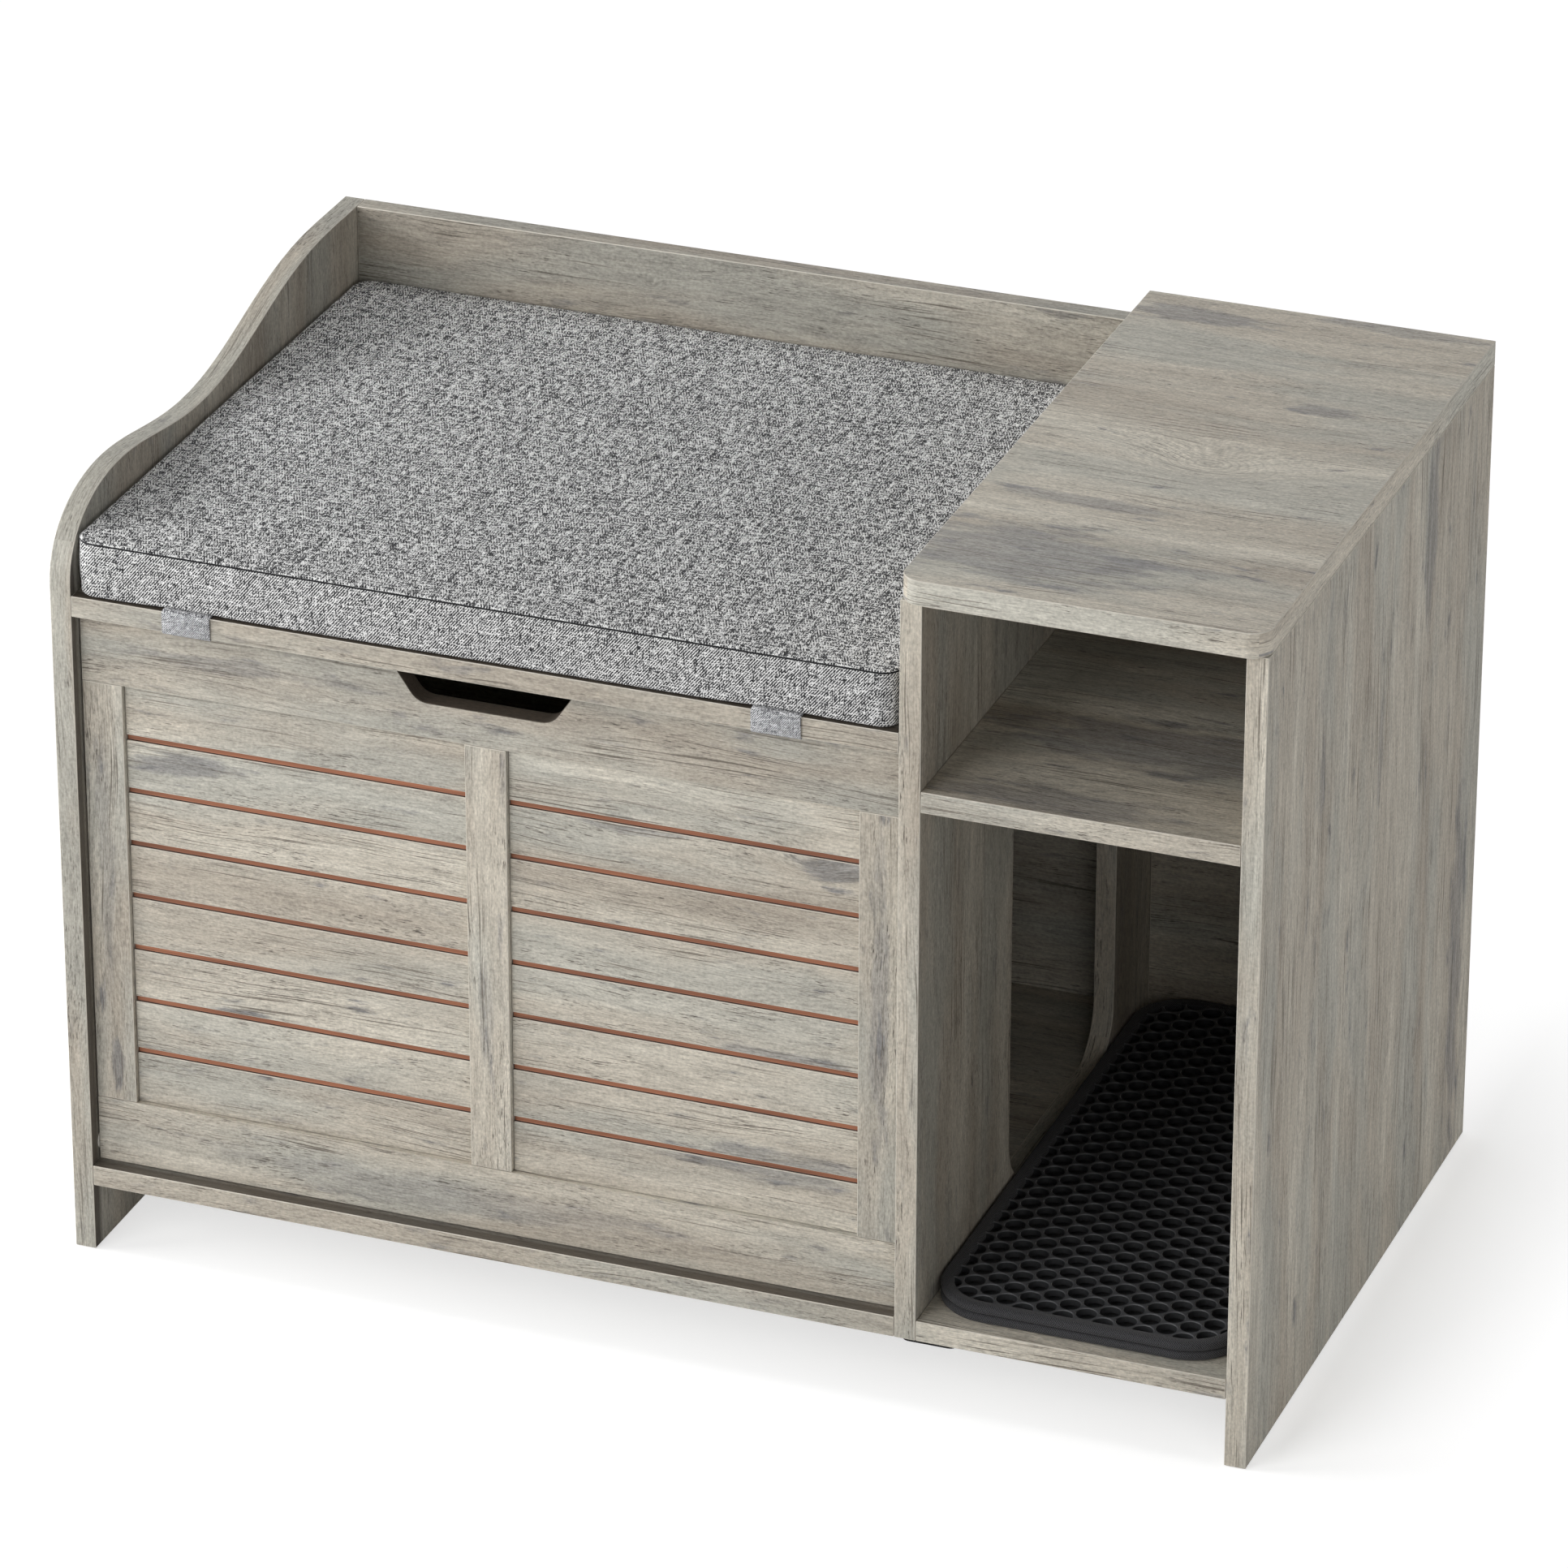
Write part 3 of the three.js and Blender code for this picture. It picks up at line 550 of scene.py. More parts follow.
def copperPaint():
    # groove floors: brushed copper-brown paint with faint streaks along the groove and slow patches
    material, tree = newMaterial("copper groove paint")
    dark, light = map(linear, groovePaint["tones"])
    long, wide = 1000 / groovePaint["streakLength"], 1000 / groovePaint["streakWidth"]
    coordinates = addNode(tree, "ShaderNodeTexCoord", output="Object")
    place = addNode(tree, "ShaderNodeVectorMath", {
        0: coordinates, 1: (long, wide, wide),
    }, operation="MULTIPLY")
    streak = addNode(tree, "ShaderNodeTexNoise", {"Vector": place, "Scale": 1.0, "Detail": 3.0})
    patch = addNode(tree, "ShaderNodeTexNoise", {"Vector": coordinates, "Scale": long, "Detail": 1.0})
    both = addNode(tree, "ShaderNodeMath", {0: streak, 1: patch}, operation="ADD")
    share = addNode(tree, "ShaderNodeMapRange", {0: both, 1: 0.7, 2: 1.3})
    tint = addNode(tree, "ShaderNodeMix", {0: share, 6: dark, 7: light}, output=2, data_type="RGBA")
    finishMaterial(tree, {"Base Color": tint, "Roughness": 0.55})
    return material


copperMaterial = copperPaint()

# each board: grain direction, face direction, place in the print and tones. Knots, stains, pale patches and
# painted shades, where a face lies set back, are (along the grain, across it, half length, half width[,
# strength]) in mm
boards = {
    "left_side_panel": {
        "grain": "z", "face": "x", "shift": 3.1, "tone": 0.97, "paintedShades": [(120, -247, 900, 14, 0.85)],
    },
    "divider_panel": {"grain": "z", "face": "x", "shift": 11.4, "tone": 0.95, "edgeTone": 1.18},
    "right_side_panel": {
        "grain": "z", "face": "x", "shift": 20.6, "edgeTone": 1.14, "stretch": 2.2,
        "knots": [(135, 116, 20, 7)],
        "stains": [
            (527, 114, 84, 14, 0.55), (452, -122, 32, 6, 0.5),
            (412, 9, 42, 8, 0.45), (150, 213, 150, 18, 0.55),
        ],
        "pales": [(330, 30, 150, 90, 0.35)],
    },
    "chamber_back_board": {
        "grain": "x", "face": "y", "shift": 31.2, "tone": 0.82, "knots": [(-186, 566, 9, 4)],
    },
    "tower_back_board": {"grain": "x", "face": "y", "shift": 37.9, "tone": 0.92},
    "chamber_floor_board": {
        "grain": "x", "face": "z", "shift": 44.3, "paintedShades": [(-116, -247, 2000, 15, 0.85)],
    },
    "tower_floor_board": {"grain": "x", "face": "z", "shift": 52.8, "tone": 1.08},
    "seat_board": {"grain": "x", "face": "z", "shift": 61.7, "paintedShades": [(-116, -247, 2000, 14, 0.95)]},
    "tower_shelf": {
        "grain": "x", "face": "z", "shift": 67.2, "tone": 1.04,
        # the second stain, further back, is painted shade: it darkens the shelf towards the back of the tower
        "stains": [(280, -230, 84, 22, 0.5), (320, -130, 130, 40, 0.6)],
        "pales": [(300, -215, 160, 25, 0.4)],
    },
    "tower_top": {
        "grain": "x", "face": "z", "shift": 75.5, "tone": 1.12, "edgeTone": 1.08,
        "knots": [(307, -12, 46, 26)],
        "stains": [
            (238, -190, 104, 50, 0.62), (251, -98, 64, 10, 0.55), (225, 223, 58, 17, 0.65),
            (365, 246, 72, 9, 0.45), (354, 97, 27, 10, 0.6), (335, -177, 44, 10, 0.45),
        ],
        "pales": [(310, 10, 130, 70, 0.40)],
    },
    "door_top_rail": {
        "grain": "x", "face": "y", "shift": 83.6, "tone": 0.96, "knots": [(-241, 445, 7, 3)],
        "stains": [(-300, 459, 110, 6, 0.5)],
    },
    "door_bottom_rail": {
        "grain": "x", "face": "y", "shift": 91.3, "tone": 1.03, "stains": [(-150, 88, 180, 14, 0.3)],
    },
    "door_left_stile": {
        "grain": "z", "face": "y", "shift": 99.8,
        "stains": [(147, -393, 19, 6, 0.7), (300, -396, 100, 7, 0.3)],
    },
    "door_centre_stile": {
        "grain": "z", "face": "y", "shift": 107.1, "tone": 1.09, "stains": [(230, -119, 36, 6, 0.3)],
    },
    "door_right_stile": {
        "grain": "z", "face": "y", "shift": 114.4, "tone": 0.97, "stains": [(290, 162, 120, 8, 0.5)],
    },
    "door_left_louvre_panel": {
        "grain": "x", "face": "y", "shift": 123.7, "tone": 1.05,
        "stains": [(-339, 378, 44, 11, 0.7), (-300, 197, 24, 3, 0.8)],
        "pales": [(-250, 215, 160, 42, 0.5)],
    },
    "door_right_louvre_panel": {
        "grain": "x", "face": "y", "shift": 131.9, "tone": 1.06, "knots": [(112, 385, 30, 9)],
        "stains": [
            (128, 384, 32, 12, 0.75), (-18, 389, 40, 7, 0.5), (86, 237, 56, 6, 0.55), (86, 155, 70, 13, 0.5),
        ],
        "pales": [(30, 215, 180, 60, 0.45)],
    },
}
# widths and depths in metres, angles in degrees. A groove's walls and floor lie between its two depths
arris = {"width": 0.0005, "steps": 2, "flatAngle": 0.4, "sharpAngle": 30, "shadingAngle": 20}
groove = {"shallowest": 0.0004, "deepest": 0.0025}
cutOutDepth = 0.003


def boardMesh(node):
    # the CAD board with its triangles merged and its arrises broken
    work = bmesh.new()
    work.from_mesh(frame["nodes"][node].data)
    bmesh.ops.remove_doubles(work, verts=work.verts, dist=1e-5)
    flatAngle, sharpAngle = math.radians(arris["flatAngle"]), math.radians(arris["sharpAngle"])
    bmesh.ops.dissolve_limit(work, angle_limit=flatAngle, verts=work.verts, edges=work.edges)
    for face in work.faces:
        face.material_index = 0
        face.smooth = True
    sharp = [e for e in work.edges if e.is_manifold and e.calc_face_angle(0) > sharpAngle]
    # the bevelled arrises take slot 1, the painted highlight
    bmesh.ops.bevel(work, geom=sharp, offset=arris["width"], offset_type="OFFSET", segments=arris["steps"],
                    profile=0.5, affect="EDGES", material=1, clamp_overlap=True)
    mesh = bpy.data.meshes.new("shown_" + node)
    work.to_mesh(mesh)
    work.free()
    mesh.set_sharp_from_angle(angle=math.radians(arris["shadingAngle"]))
    return mesh


for node, board in boards.items():
    mesh = boardMesh(node)
    low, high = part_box(node)
    mesh.materials.append(laminateMaterial("laminate " + node.replace("_", " "), board))
    mesh.materials.append(arrisHighlightMaterial)
    if "louvre" in node:
        mesh.materials.append(copperMaterial)
        mesh.materials.append(grooveShadeMaterial)
        for face in mesh.polygons:
            inGroove = groove["shallowest"] < face.center.y - low.y < groove["deepest"]
            # the groove wall that faces up takes the painted shade, the floor and the wall that faces down
            # the copper paint
            if inGroove and face.normal.z > 0.5:
                face.material_index = 3
            elif inGroove and (face.normal.z < -0.5 or face.normal.y < -0.9):
                face.material_index = 2
    if node == "door_top_rail":
        mesh.materials.append(recessMaterial)
        for face in mesh.polygons:
            if face.normal.z > 0.2 and face.center.z < high.z - cutOutDepth:
                face.material_index = 2
    body = frame["nodes"][node]["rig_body"]
    pieceName = node.replace("door_", "").replace("_panel", "") + "_laminated"
    placePiece(pieceName, mesh, body, [node])
print("boards done:", len(boards))

# cushion, in metres. Its top swells and its border is slack in slow waves
cushion = {
    "cornerRadius": 0.014,
    "lowerRadius": 0.003,
    "upperRadius": 0.0020,
    "topHeight": 0.0412,
    "forward": 0.0015,
    "borderBulge": 0.0012,
    "borderInset": 0.0006,
    "seamDrop": 0.0018,
    "seamDepth": 0.0021,
    "seamLip": 0.0002,
    "seamBelow": 0.0010,
    "seamAbove": 0.0008,
    "topRows": 44,
    "topDrop": 0.0005,
    "swell": 0.0007,
    "swellPitch": 0.16,
    "slack": 0.0006,
    "slackPitch": 0.13,
    "strapLift": 0.0013,
    "strapReach": 0.03,
    "threads": ("#26272A", "#ACACAD", "#FAFAF9"),
}
# the weave, at size 1: threads and slubs are (length in mm, width in mm, contrast), ribs are turns per metre
# across and up, and the values from topRibContrast on say how it is drawn on a face that looks up. Threads
# are drawn a little coarser than real ones, so that they show
weave = {
    "threads": [(5.0, 0.85, 1.05), (12.0, 1.5, 0.42)],
    "weftContrast": 1.2,
    "ribs": (500.0, 410.0),
    "ribContrast": 0.80,
    "ribEdge": 0.3,
    "ramp": (0.10, 0.50, 0.90),
    "bumpHeight": 0.0004,
    "upwardFrom": 0.72,
    "topRibContrast": 0.25,
    "topThreadWidth": 1.0,
    "topThreadDepth": 1.75,
    "topContrast": 1.15,
}


def softWave(points, seed, size):
    # a slow, uneven swell: a sum of sine waves in mixed directions, about -1 to 1
    chance = np.random.default_rng(seed)
    total = np.zeros(points.shape[:-1])
    for _ in range(9):
        direction = chance.normal(size=3)
        direction /= np.linalg.norm(direction)
        pitch = size * chance.uniform(0.6, 1.7)
        total += np.sin(points @ direction * 2 * math.pi / pitch + chance.uniform(0, 2 * math.pi))
    return total / 4.5


def cushionMesh():
    # a profile carried round a rounded rectangle, with a top that shrinks towards its centre
    low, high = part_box("cushion")
    bottom = low.z
    top = bottom + cushion["topHeight"]
    corner, lower, upper = cushion["cornerRadius"], cushion["lowerRadius"], cushion["upperRadius"]
    frontLeft = (low.x, low.y - cushion["forward"])
    outline, normals = roundedOutline(frontLeft, (high.x, high.y), corner, 0.005, 10)
    centre = np.array([(low.x + high.x) / 2, (low.y + high.y) / 2])
    halfSize = np.array([(high.x - low.x) / 2, (high.y - low.y) / 2])
    # profile from the underside outwards, up the border and over the seam: (inset from the outline, height)
    profile = [(0.06, bottom), (0.03, bottom)]
    for a in np.radians(np.linspace(0, 90, 7)):
        profile.append((lower - lower * math.sin(a), bottom + lower - lower * math.cos(a)))
    borderBottom, seamHeight = bottom + lower, top - cushion["seamDrop"]
    for share in np.linspace(0, 1, 8)[1:-1]:
        height = borderBottom + share * (seamHeight - borderBottom)
        profile.append((cushion["borderInset"] - cushion["borderBulge"] * math.sin(math.pi * share), height))
    seamRows = (len(profile), len(profile) + 1)
    profile += [
        (cushion["seamLip"], seamHeight - cushion["seamBelow"]),
        (cushion["seamDepth"], seamHeight),
        (cushion["seamLip"], seamHeight + cushion["seamAbove"]),
    ]
    for a in np.radians(np.linspace(20, 90, 5)):
        profile.append((upper - upper * math.cos(a), top - upper + upper * math.sin(a)))
    rings = []
    for inset, height in profile:
        ring = outline - normals * inset
        if inset > corner:
            ring = centre + (outline - centre) * (1 - inset / halfSize[1])
        rings.append(np.column_stack([ring, np.full(len(ring), height)]))
    edge = rings[-1][:, :2]
    for share in 1 - np.arange(1, cushion["topRows"]) / cushion["topRows"]:
        rings.append(np.column_stack([centre + (edge - centre) * share, np.full(len(edge), top)]))
    rings = np.array(rings)
    # the top rises to the crown, quickly by the border and then almost flat
    sideShare, depthShare = np.moveaxis(np.clip(np.abs(rings[..., :2] - centre) / halfSize, 0, 1), -1, 0)
    dome = (1 - sideShare ** 5) * (1 - depthShare ** 4)
    swell = softWave(rings, 4, cushion["swellPitch"]) * cushion["swell"] * np.clip(dome * 4, 0, 1)
    rise = (high.z - top) * dome + swell - cushion["topDrop"]
    rings[..., 2] += np.where(rings[..., 2] > top - upper * 0.6, rise, 0)
    # slack in the border: slow waves in and out, none at the underside
    heightShare = np.clip((rings[..., 2] - bottom) / (top - bottom), 0, 1)
    away = rings[..., :2] - centre
    away /= np.linalg.norm(away, axis=-1, keepdims=True)
    slack = softWave(rings, 9, cushion["slackPitch"]) * cushion["slack"] * np.sin(math.pi * heightShare)
    rings[..., :2] += away * slack[..., None]
    # each strap holds the front's lower edge up a little, in a bell-shaped hill
    for side in ("left", "right"):
        strapLow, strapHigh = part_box(side + "_cushion_strap")
        offset = rings[..., 0] - (strapLow.x + strapHigh.x) / 2
        beside = np.exp(-((offset / cushion["strapReach"]) ** 2))
        atFront = np.clip(1 - (rings[..., 1] - low.y) / cushion["strapReach"], 0, 1)
        rings[..., 2] += cushion["strapLift"] * beside * atFront * np.clip(1 - heightShare * 3, 0, 1)
    mesh = ringMesh("shown_cushion", rings)
    # the seam's groove takes slot 1: its thread, with painted shade
    for face in mesh.polygons:
        if face.index // len(outline) in seamRows:
            face.material_index = 1
    return mesh


def wovenMaterial(name, colours, size):
    # melange twill: slanting ribs 1.55 mm apart at size 1, of light and dark threads with longer slubs
    material, tree = newMaterial(name)
    coordinates = addNode(tree, "ShaderNodeTexCoord", output="Object")
    normal = tree.nodes[-1].outputs["Normal"]
    addNode(tree, "ShaderNodeSeparateXYZ", {0: coordinates})
    x, y, z = tree.nodes[-1].outputs[:3]
    facing = addNode(tree, "ShaderNodeVectorMath", {0: normal}, operation="ABSOLUTE")
    addNode(tree, "ShaderNodeSeparateXYZ", {0: facing})
    facingX, facingY, facingZ = tree.nodes[-1].outputs[:3]
    upward = addNode(tree, "ShaderNodeMath", {0: facingZ, 1: weave["upwardFrom"]}, operation="GREATER_THAN")
    sideways = addNode(tree, "ShaderNodeMath", {0: facingX, 1: facingY}, operation="GREATER_THAN")
    first = addNode(tree, "ShaderNodeMix", {0: sideways, 2: x, 3: y}, data_type="FLOAT")
    first = addNode(tree, "ShaderNodeMix", {0: upward, 2: first, 3: x}, data_type="FLOAT")
    second = addNode(tree, "ShaderNodeMix", {0: upward, 2: z, 3: y}, data_type="FLOAT")
    # the weave is drawn coarser and stronger on the cushion's top, where the eye meets it aslant
    widthShare = addNode(tree, "ShaderNodeMapRange", {0: upward, 3: 1.0, 4: 1 / weave["topThreadWidth"]})
    depthShare = addNode(tree, "ShaderNodeMapRange", {0: upward, 3: 1.0, 4: 1 / weave["topThreadDepth"]})
    across = addNode(tree, "ShaderNodeMath", {0: first, 1: widthShare}, operation="MULTIPLY")
    up = addNode(tree, "ShaderNodeMath", {0: second, 1: depthShare}, operation="MULTIPLY")
    place = addNode(tree, "ShaderNodeCombineXYZ", {0: across, 1: up, 2: 0.0})
    strength = addNode(tree, "ShaderNodeMapRange", {0: upward, 3: 1.0, 4: weave["topContrast"]})
    # the ribs lean the other way on the cushion's sides than on its top
    ribsAcross, ribsUp = weave["ribs"]
    lean = addNode(tree, "ShaderNodeMapRange", {0: upward, 3: -ribsUp / size, 4: ribsUp / size})
    turn = addNode(tree, "ShaderNodeMath", {0: up, 1: lean}, operation="MULTIPLY")
    turn = addNode(tree, "ShaderNodeMath", {
        0: across, 1: ribsAcross / size, 2: turn,
    }, operation="MULTIPLY_ADD")
    turn = addNode(tree, "ShaderNodeMath", {0: turn, 1: 2 * math.pi}, operation="MULTIPLY")
    rib = addNode(tree, "ShaderNodeMath", {0: turn}, operation="SINE")
    ribContrast = addNode(tree, "ShaderNodeMapRange", {
        0: upward, 3: weave["ribContrast"], 4: weave["topRibContrast"],
    })
    # threads and slubs run both ways, and the ribs decide which of the two ways lies on top
    crossing = []
    for turned in (False, True):
        brightness = 0.5
        for number, (long, wide, contrast) in enumerate(weave["threads"]):
            first, second = (wide, long) if turned else (long, wide)
            threadPlace = addNode(tree, "ShaderNodeVectorMath", {
                0: place,
                1: (1000 / (first * size), 1000 / (second * size), 0),
                2: (0, 0, number * 5.3 + turned * 2.1),
            }, operation="MULTIPLY_ADD")
            thread = addNode(tree, "ShaderNodeTexNoise", {"Vector": threadPlace, "Scale": 1.0, "Detail": 0.0})
            swing = contrast if turned else contrast * weave["weftContrast"]
            thread = addNode(tree, "ShaderNodeMapRange", {
                0: thread, 1: 0.25, 2: 0.75, 3: -swing, 4: swing,
            }, clamp=False)
            brightness = addNode(tree, "ShaderNodeMath", {
                0: thread, 1: strength, 2: brightness,
            }, operation="MULTIPLY_ADD")
        crossing.append(brightness)
    onTop = addNode(tree, "ShaderNodeMapRange", {0: rib, 1: -weave["ribEdge"], 2: weave["ribEdge"]})
    shade = addNode(tree, "ShaderNodeMix", {0: onTop, 2: crossing[0], 3: crossing[1]}, data_type="FLOAT")
    shade = addNode(tree, "ShaderNodeMath", {0: rib, 1: ribContrast, 2: shade}, operation="MULTIPLY_ADD")
    tint = addNode(tree, "ShaderNodeValToRGB", {0: shade})
    fillRamp(tree.nodes[-1].color_ramp, list(zip(weave["ramp"], map(linear, colours))))
    bump = addNode(tree, "ShaderNodeBump", {
        "Height": shade, "Distance": weave["bumpHeight"] * size, "Strength": 1.0,
    })
    finishMaterial(tree, {
        "Base Color": tint, "Roughness": 0.92, "Normal": bump,
        "Specular IOR Level": 0.2, "Sheen Weight": 0.15,
    })
    return material


# the seam is a line sunk between the border and the top, near black: its thread, with painted shade in the
# groove
mesh = cushionMesh()
mesh.materials.append(wovenMaterial("grey melange weave", cushion["threads"], 1.0))
mesh.materials.append(speckledMaterial("seam thread with painted shade", ("#0C0C0E", "#26272A"), (1.4286,) * 3, 1.0, 0.95))
seatCushion = placePiece("seat_cushion", mesh, "cabinet", ["cushion"])
print("cushion done")

# cushion straps, in metres
strap = {
    "thickness": 0.0013,
    "bend": 0.0022,
    "endGap": 0.0006,
    "weaveSize": 0.7,
    "threads": ("#5C5D62", "#B4B5B8", "#F1F1F3"),
}


def strapMesh(node):
    # a flat band from under the cushion over the seat board's front edge and back under it
    low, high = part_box(node)
    half, bend = strap["thickness"] / 2, strap["bend"]
    y0, y1 = low.y + half, high.y
    z0, z1 = low.z + half, high.z - half
    quarter = np.radians(np.linspace(0, 90, 7))
    path = [(y1, z1)]
    path += [(y0 + bend - bend * math.sin(a), z1 - bend + bend * math.cos(a)) for a in quarter]
    path += [(y0 + bend - bend * math.cos(a), z0 + bend - bend * math.sin(a)) for a in quarter]
    path = np.array(path + [(y1 - strap["endGap"], z0)])
    step = np.gradient(path, axis=0)
    step /= np.linalg.norm(step, axis=1, keepdims=True)
    side = np.stack([-step[:, 1], step[:, 0]], -1)
    # cross-section of the band: a half circle at either edge
    turn = np.radians(np.concatenate([np.linspace(-90, 90, 5), np.linspace(90, 270, 5)]))
    reach = np.repeat([1, -1], 5) * ((high.x - low.x) / 2 - half)
    across, thick = reach + half * np.cos(turn), half * np.sin(turn)
    rings = np.zeros((len(path), len(turn), 3))
    rings[..., 0] = (low.x + high.x) / 2 + across
    rings[..., 1:] = path[:, None] + side[:, None] * thick[:, None]
    return ringMesh("shown_" + node, rings)


strapMaterial = wovenMaterial("grey strap webbing", strap["threads"], strap["weaveSize"])
for side in ("left", "right"):
    node = side + "_cushion_strap"
    mesh = strapMesh(node)
    mesh.set_sharp_from_angle(angle=math.radians(50))
    mesh.materials.append(strapMaterial)
    placePiece(side + "_strap", mesh, "cabinet", [node])
print("straps done")

# litter mat, in metres. Each colour is a dark and a light tone, and the pits are drawn coarser than real
# ones, so that they show
mat = {
    "pitch": 0.0162,
    "firstHole": (0.0045, 0.004),
    "holeMargin": 0.004,
    "holeRadius": 0.0072,
    "rimBevel": 0.0006,
    "holeSides": 20,
    "cornerRadius": 0.040,
    "foamInset": {"lower": 0.005, "upper": 0.0055},
    # the foam in three tones by facing: walls darkest, upward faces paler as painted light, the rims' nearer
    # halves palest as a painted highlight
    "wall": ("#151617", "#232426"),
    "face": ("#3A3B3D", "#4E4F52"),
    "rim": ("#6E6F72", "#B4B5B8"),
    "tapeWidth": 0.0092,
    "tapeHerringbone": 0.0045,
    "tapeThread": 0.0016,
    "tapeFuzz": 0.000909,
    "tape": ("#0B0B0C", "#4C4C4F"),
    "scuffSize": 0.01667,
    "pitSize": 0.001111,
}


def prismMesh(name, outline, low, high):
    # the outline carried straight up from low to high, with a flat face at either end
    count = len(outline)
    verts = [(x, y, height) for height in (low, high) for x, y in outline]
    faces = [[i, (i + 1) % count, count + (i + 1) % count, count + i] for i in range(count)]
    faces += [list(range(count))[::-1], list(range(count, 2 * count))]
    mesh = bpy.data.meshes.new(name)
    mesh.from_pydata(verts, [], faces)
    return mesh


def holeCutters(low, high, bottom, top):
    # round cutters on a triangular lattice, flared at the mat's upper face so that each hole gets a soft rim
    pitch, radius, bevel, sides = mat["pitch"], mat["holeRadius"], mat["rimBevel"], mat["holeSides"]
    turn = np.arange(sides) * 2 * math.pi / sides
    circle = np.stack([np.cos(turn), np.sin(turn)], -1)
    levels = [
        (radius, bottom - 0.002),
        (radius, top - bevel),
        (radius + bevel * 0.35, top - bevel * 0.35),
        (radius + bevel * 1.3, top + 0.0002),
        (radius + bevel * 1.3, top + 0.002),
    ]
    # columns stand half the square root of 3 pitches apart, and every other one is half a pitch further back
    column = pitch * math.sqrt(3) / 2
    columns, rows = int((high[0] - low[0]) / column) + 2, int((high[1] - low[1]) / pitch) + 2
    i, j = np.meshgrid(np.arange(columns), np.arange(rows), indexing="ij")
    centres = np.stack([i * column, (j + 0.5 * (i % 2)) * pitch], -1).reshape(-1, 2) + low + mat["firstHole"]
    margin = mat["holeMargin"]
    centres = centres[((centres > low - margin) & (centres < high + margin)).all(1)]
    verts = np.zeros((len(centres), len(levels), sides, 3))
    for number, (reach, height) in enumerate(levels):
        verts[:, number, :, :2] = centres[:, None] + circle * reach
        verts[:, number, :, 2] = height
    faces = []
    for hole in np.arange(verts.size // 3).reshape(verts.shape[:3]):
        below, above = hole[:-1], hole[1:]
        corners = [below, np.roll(below, -1, axis=1), np.roll(above, -1, axis=1), above]
        faces += np.stack(corners, -1).reshape(-1, 4).tolist()
        faces += [hole[0, ::-1].tolist(), hole[-1].tolist()]
    mesh = bpy.data.meshes.new("hole_cutters")
    mesh.from_pydata(verts.reshape(-1, 3).tolist(), [], faces)
    return mesh


def foamMaterial(name, tones):
    # closed-cell foam: finely pitted, a little scuffed
    material, tree = newMaterial(name)
    dark, light = map(linear, tones)
    coordinates = addNode(tree, "ShaderNodeTexCoord", output="Object")
    scuffs = addNode(tree, "ShaderNodeTexNoise", {
        "Vector": coordinates, "Scale": 1 / mat["scuffSize"], "Detail": 3.0,
    })
    pits = addNode(tree, "ShaderNodeTexNoise", {
        "Vector": coordinates, "Scale": 1 / mat["pitSize"], "Detail": 2.0,
    })
    tint = addNode(tree, "ShaderNodeMix", {0: scuffs, 6: dark, 7: light}, output=2, data_type="RGBA")
    roughness = addNode(tree, "ShaderNodeMapRange", {0: pits, 1: 0.3, 2: 0.7, 3: 0.45, 4: 0.65})
    bump = addNode(tree, "ShaderNodeBump", {"Height": pits, "Distance": 0.0002, "Strength": 0.8})
    finishMaterial(tree, {
        "Base Color": tint, "Roughness": roughness, "Normal": bump, "Specular IOR Level": 0.5,
    })
    return material


def tapeMaterial():
    # woven binding tape: charcoal herringbone, rows of slanted threads that turn back every 4.5 mm
    material, tree = newMaterial("herringbone binding tape")
    dark, light = map(linear, mat["tape"])
    uv = addNode(tree, "ShaderNodeUVMap", uv_map="tape")
    addNode(tree, "ShaderNodeSeparateXYZ", {0: uv})
    along, across = tree.nodes[-1].outputs[:2]
    slope = addNode(tree, "ShaderNodeMath", {0: across, 1: mat["tapeHerringbone"]}, operation="PINGPONG")
    slanted = addNode(tree, "ShaderNodeMath", {0: slope, 1: along}, operation="ADD")
    perMetre = 2 * math.pi / mat["tapeThread"]
    turns = addNode(tree, "ShaderNodeMath", {0: slanted, 1: perMetre}, operation="MULTIPLY")
    wave = addNode(tree, "ShaderNodeMath", {0: turns}, operation="SINE")
    fuzz = addNode(tree, "ShaderNodeTexNoise", {"Vector": uv, "Scale": 1 / mat["tapeFuzz"], "Detail": 2.0})
    level = addNode(tree, "ShaderNodeMath", {0: wave, 1: 0.35, 2: fuzz}, operation="MULTIPLY_ADD")
    shade = addNode(tree, "ShaderNodeMapRange", {0: level, 1: 0.1, 2: 0.9})
    tint = addNode(tree, "ShaderNodeMix", {0: shade, 6: dark, 7: light}, output=2, data_type="RGBA")
    bump = addNode(tree, "ShaderNodeBump", {"Height": level, "Distance": 0.0003, "Strength": 0.8})
    finishMaterial(tree, {
        "Base Color": tint, "Roughness": 0.85, "Normal": bump,
        "Specular IOR Level": 0.25, "Sheen Weight": 0.1,
    })
    return material


def runLength(points):
    # distance covered at each point of a closed loop, and at its first point once more
    steps = np.diff(np.vstack([points, points[:1]]), axis=0)
    return np.concatenate([[0], np.cumsum(np.linalg.norm(steps, axis=1))])


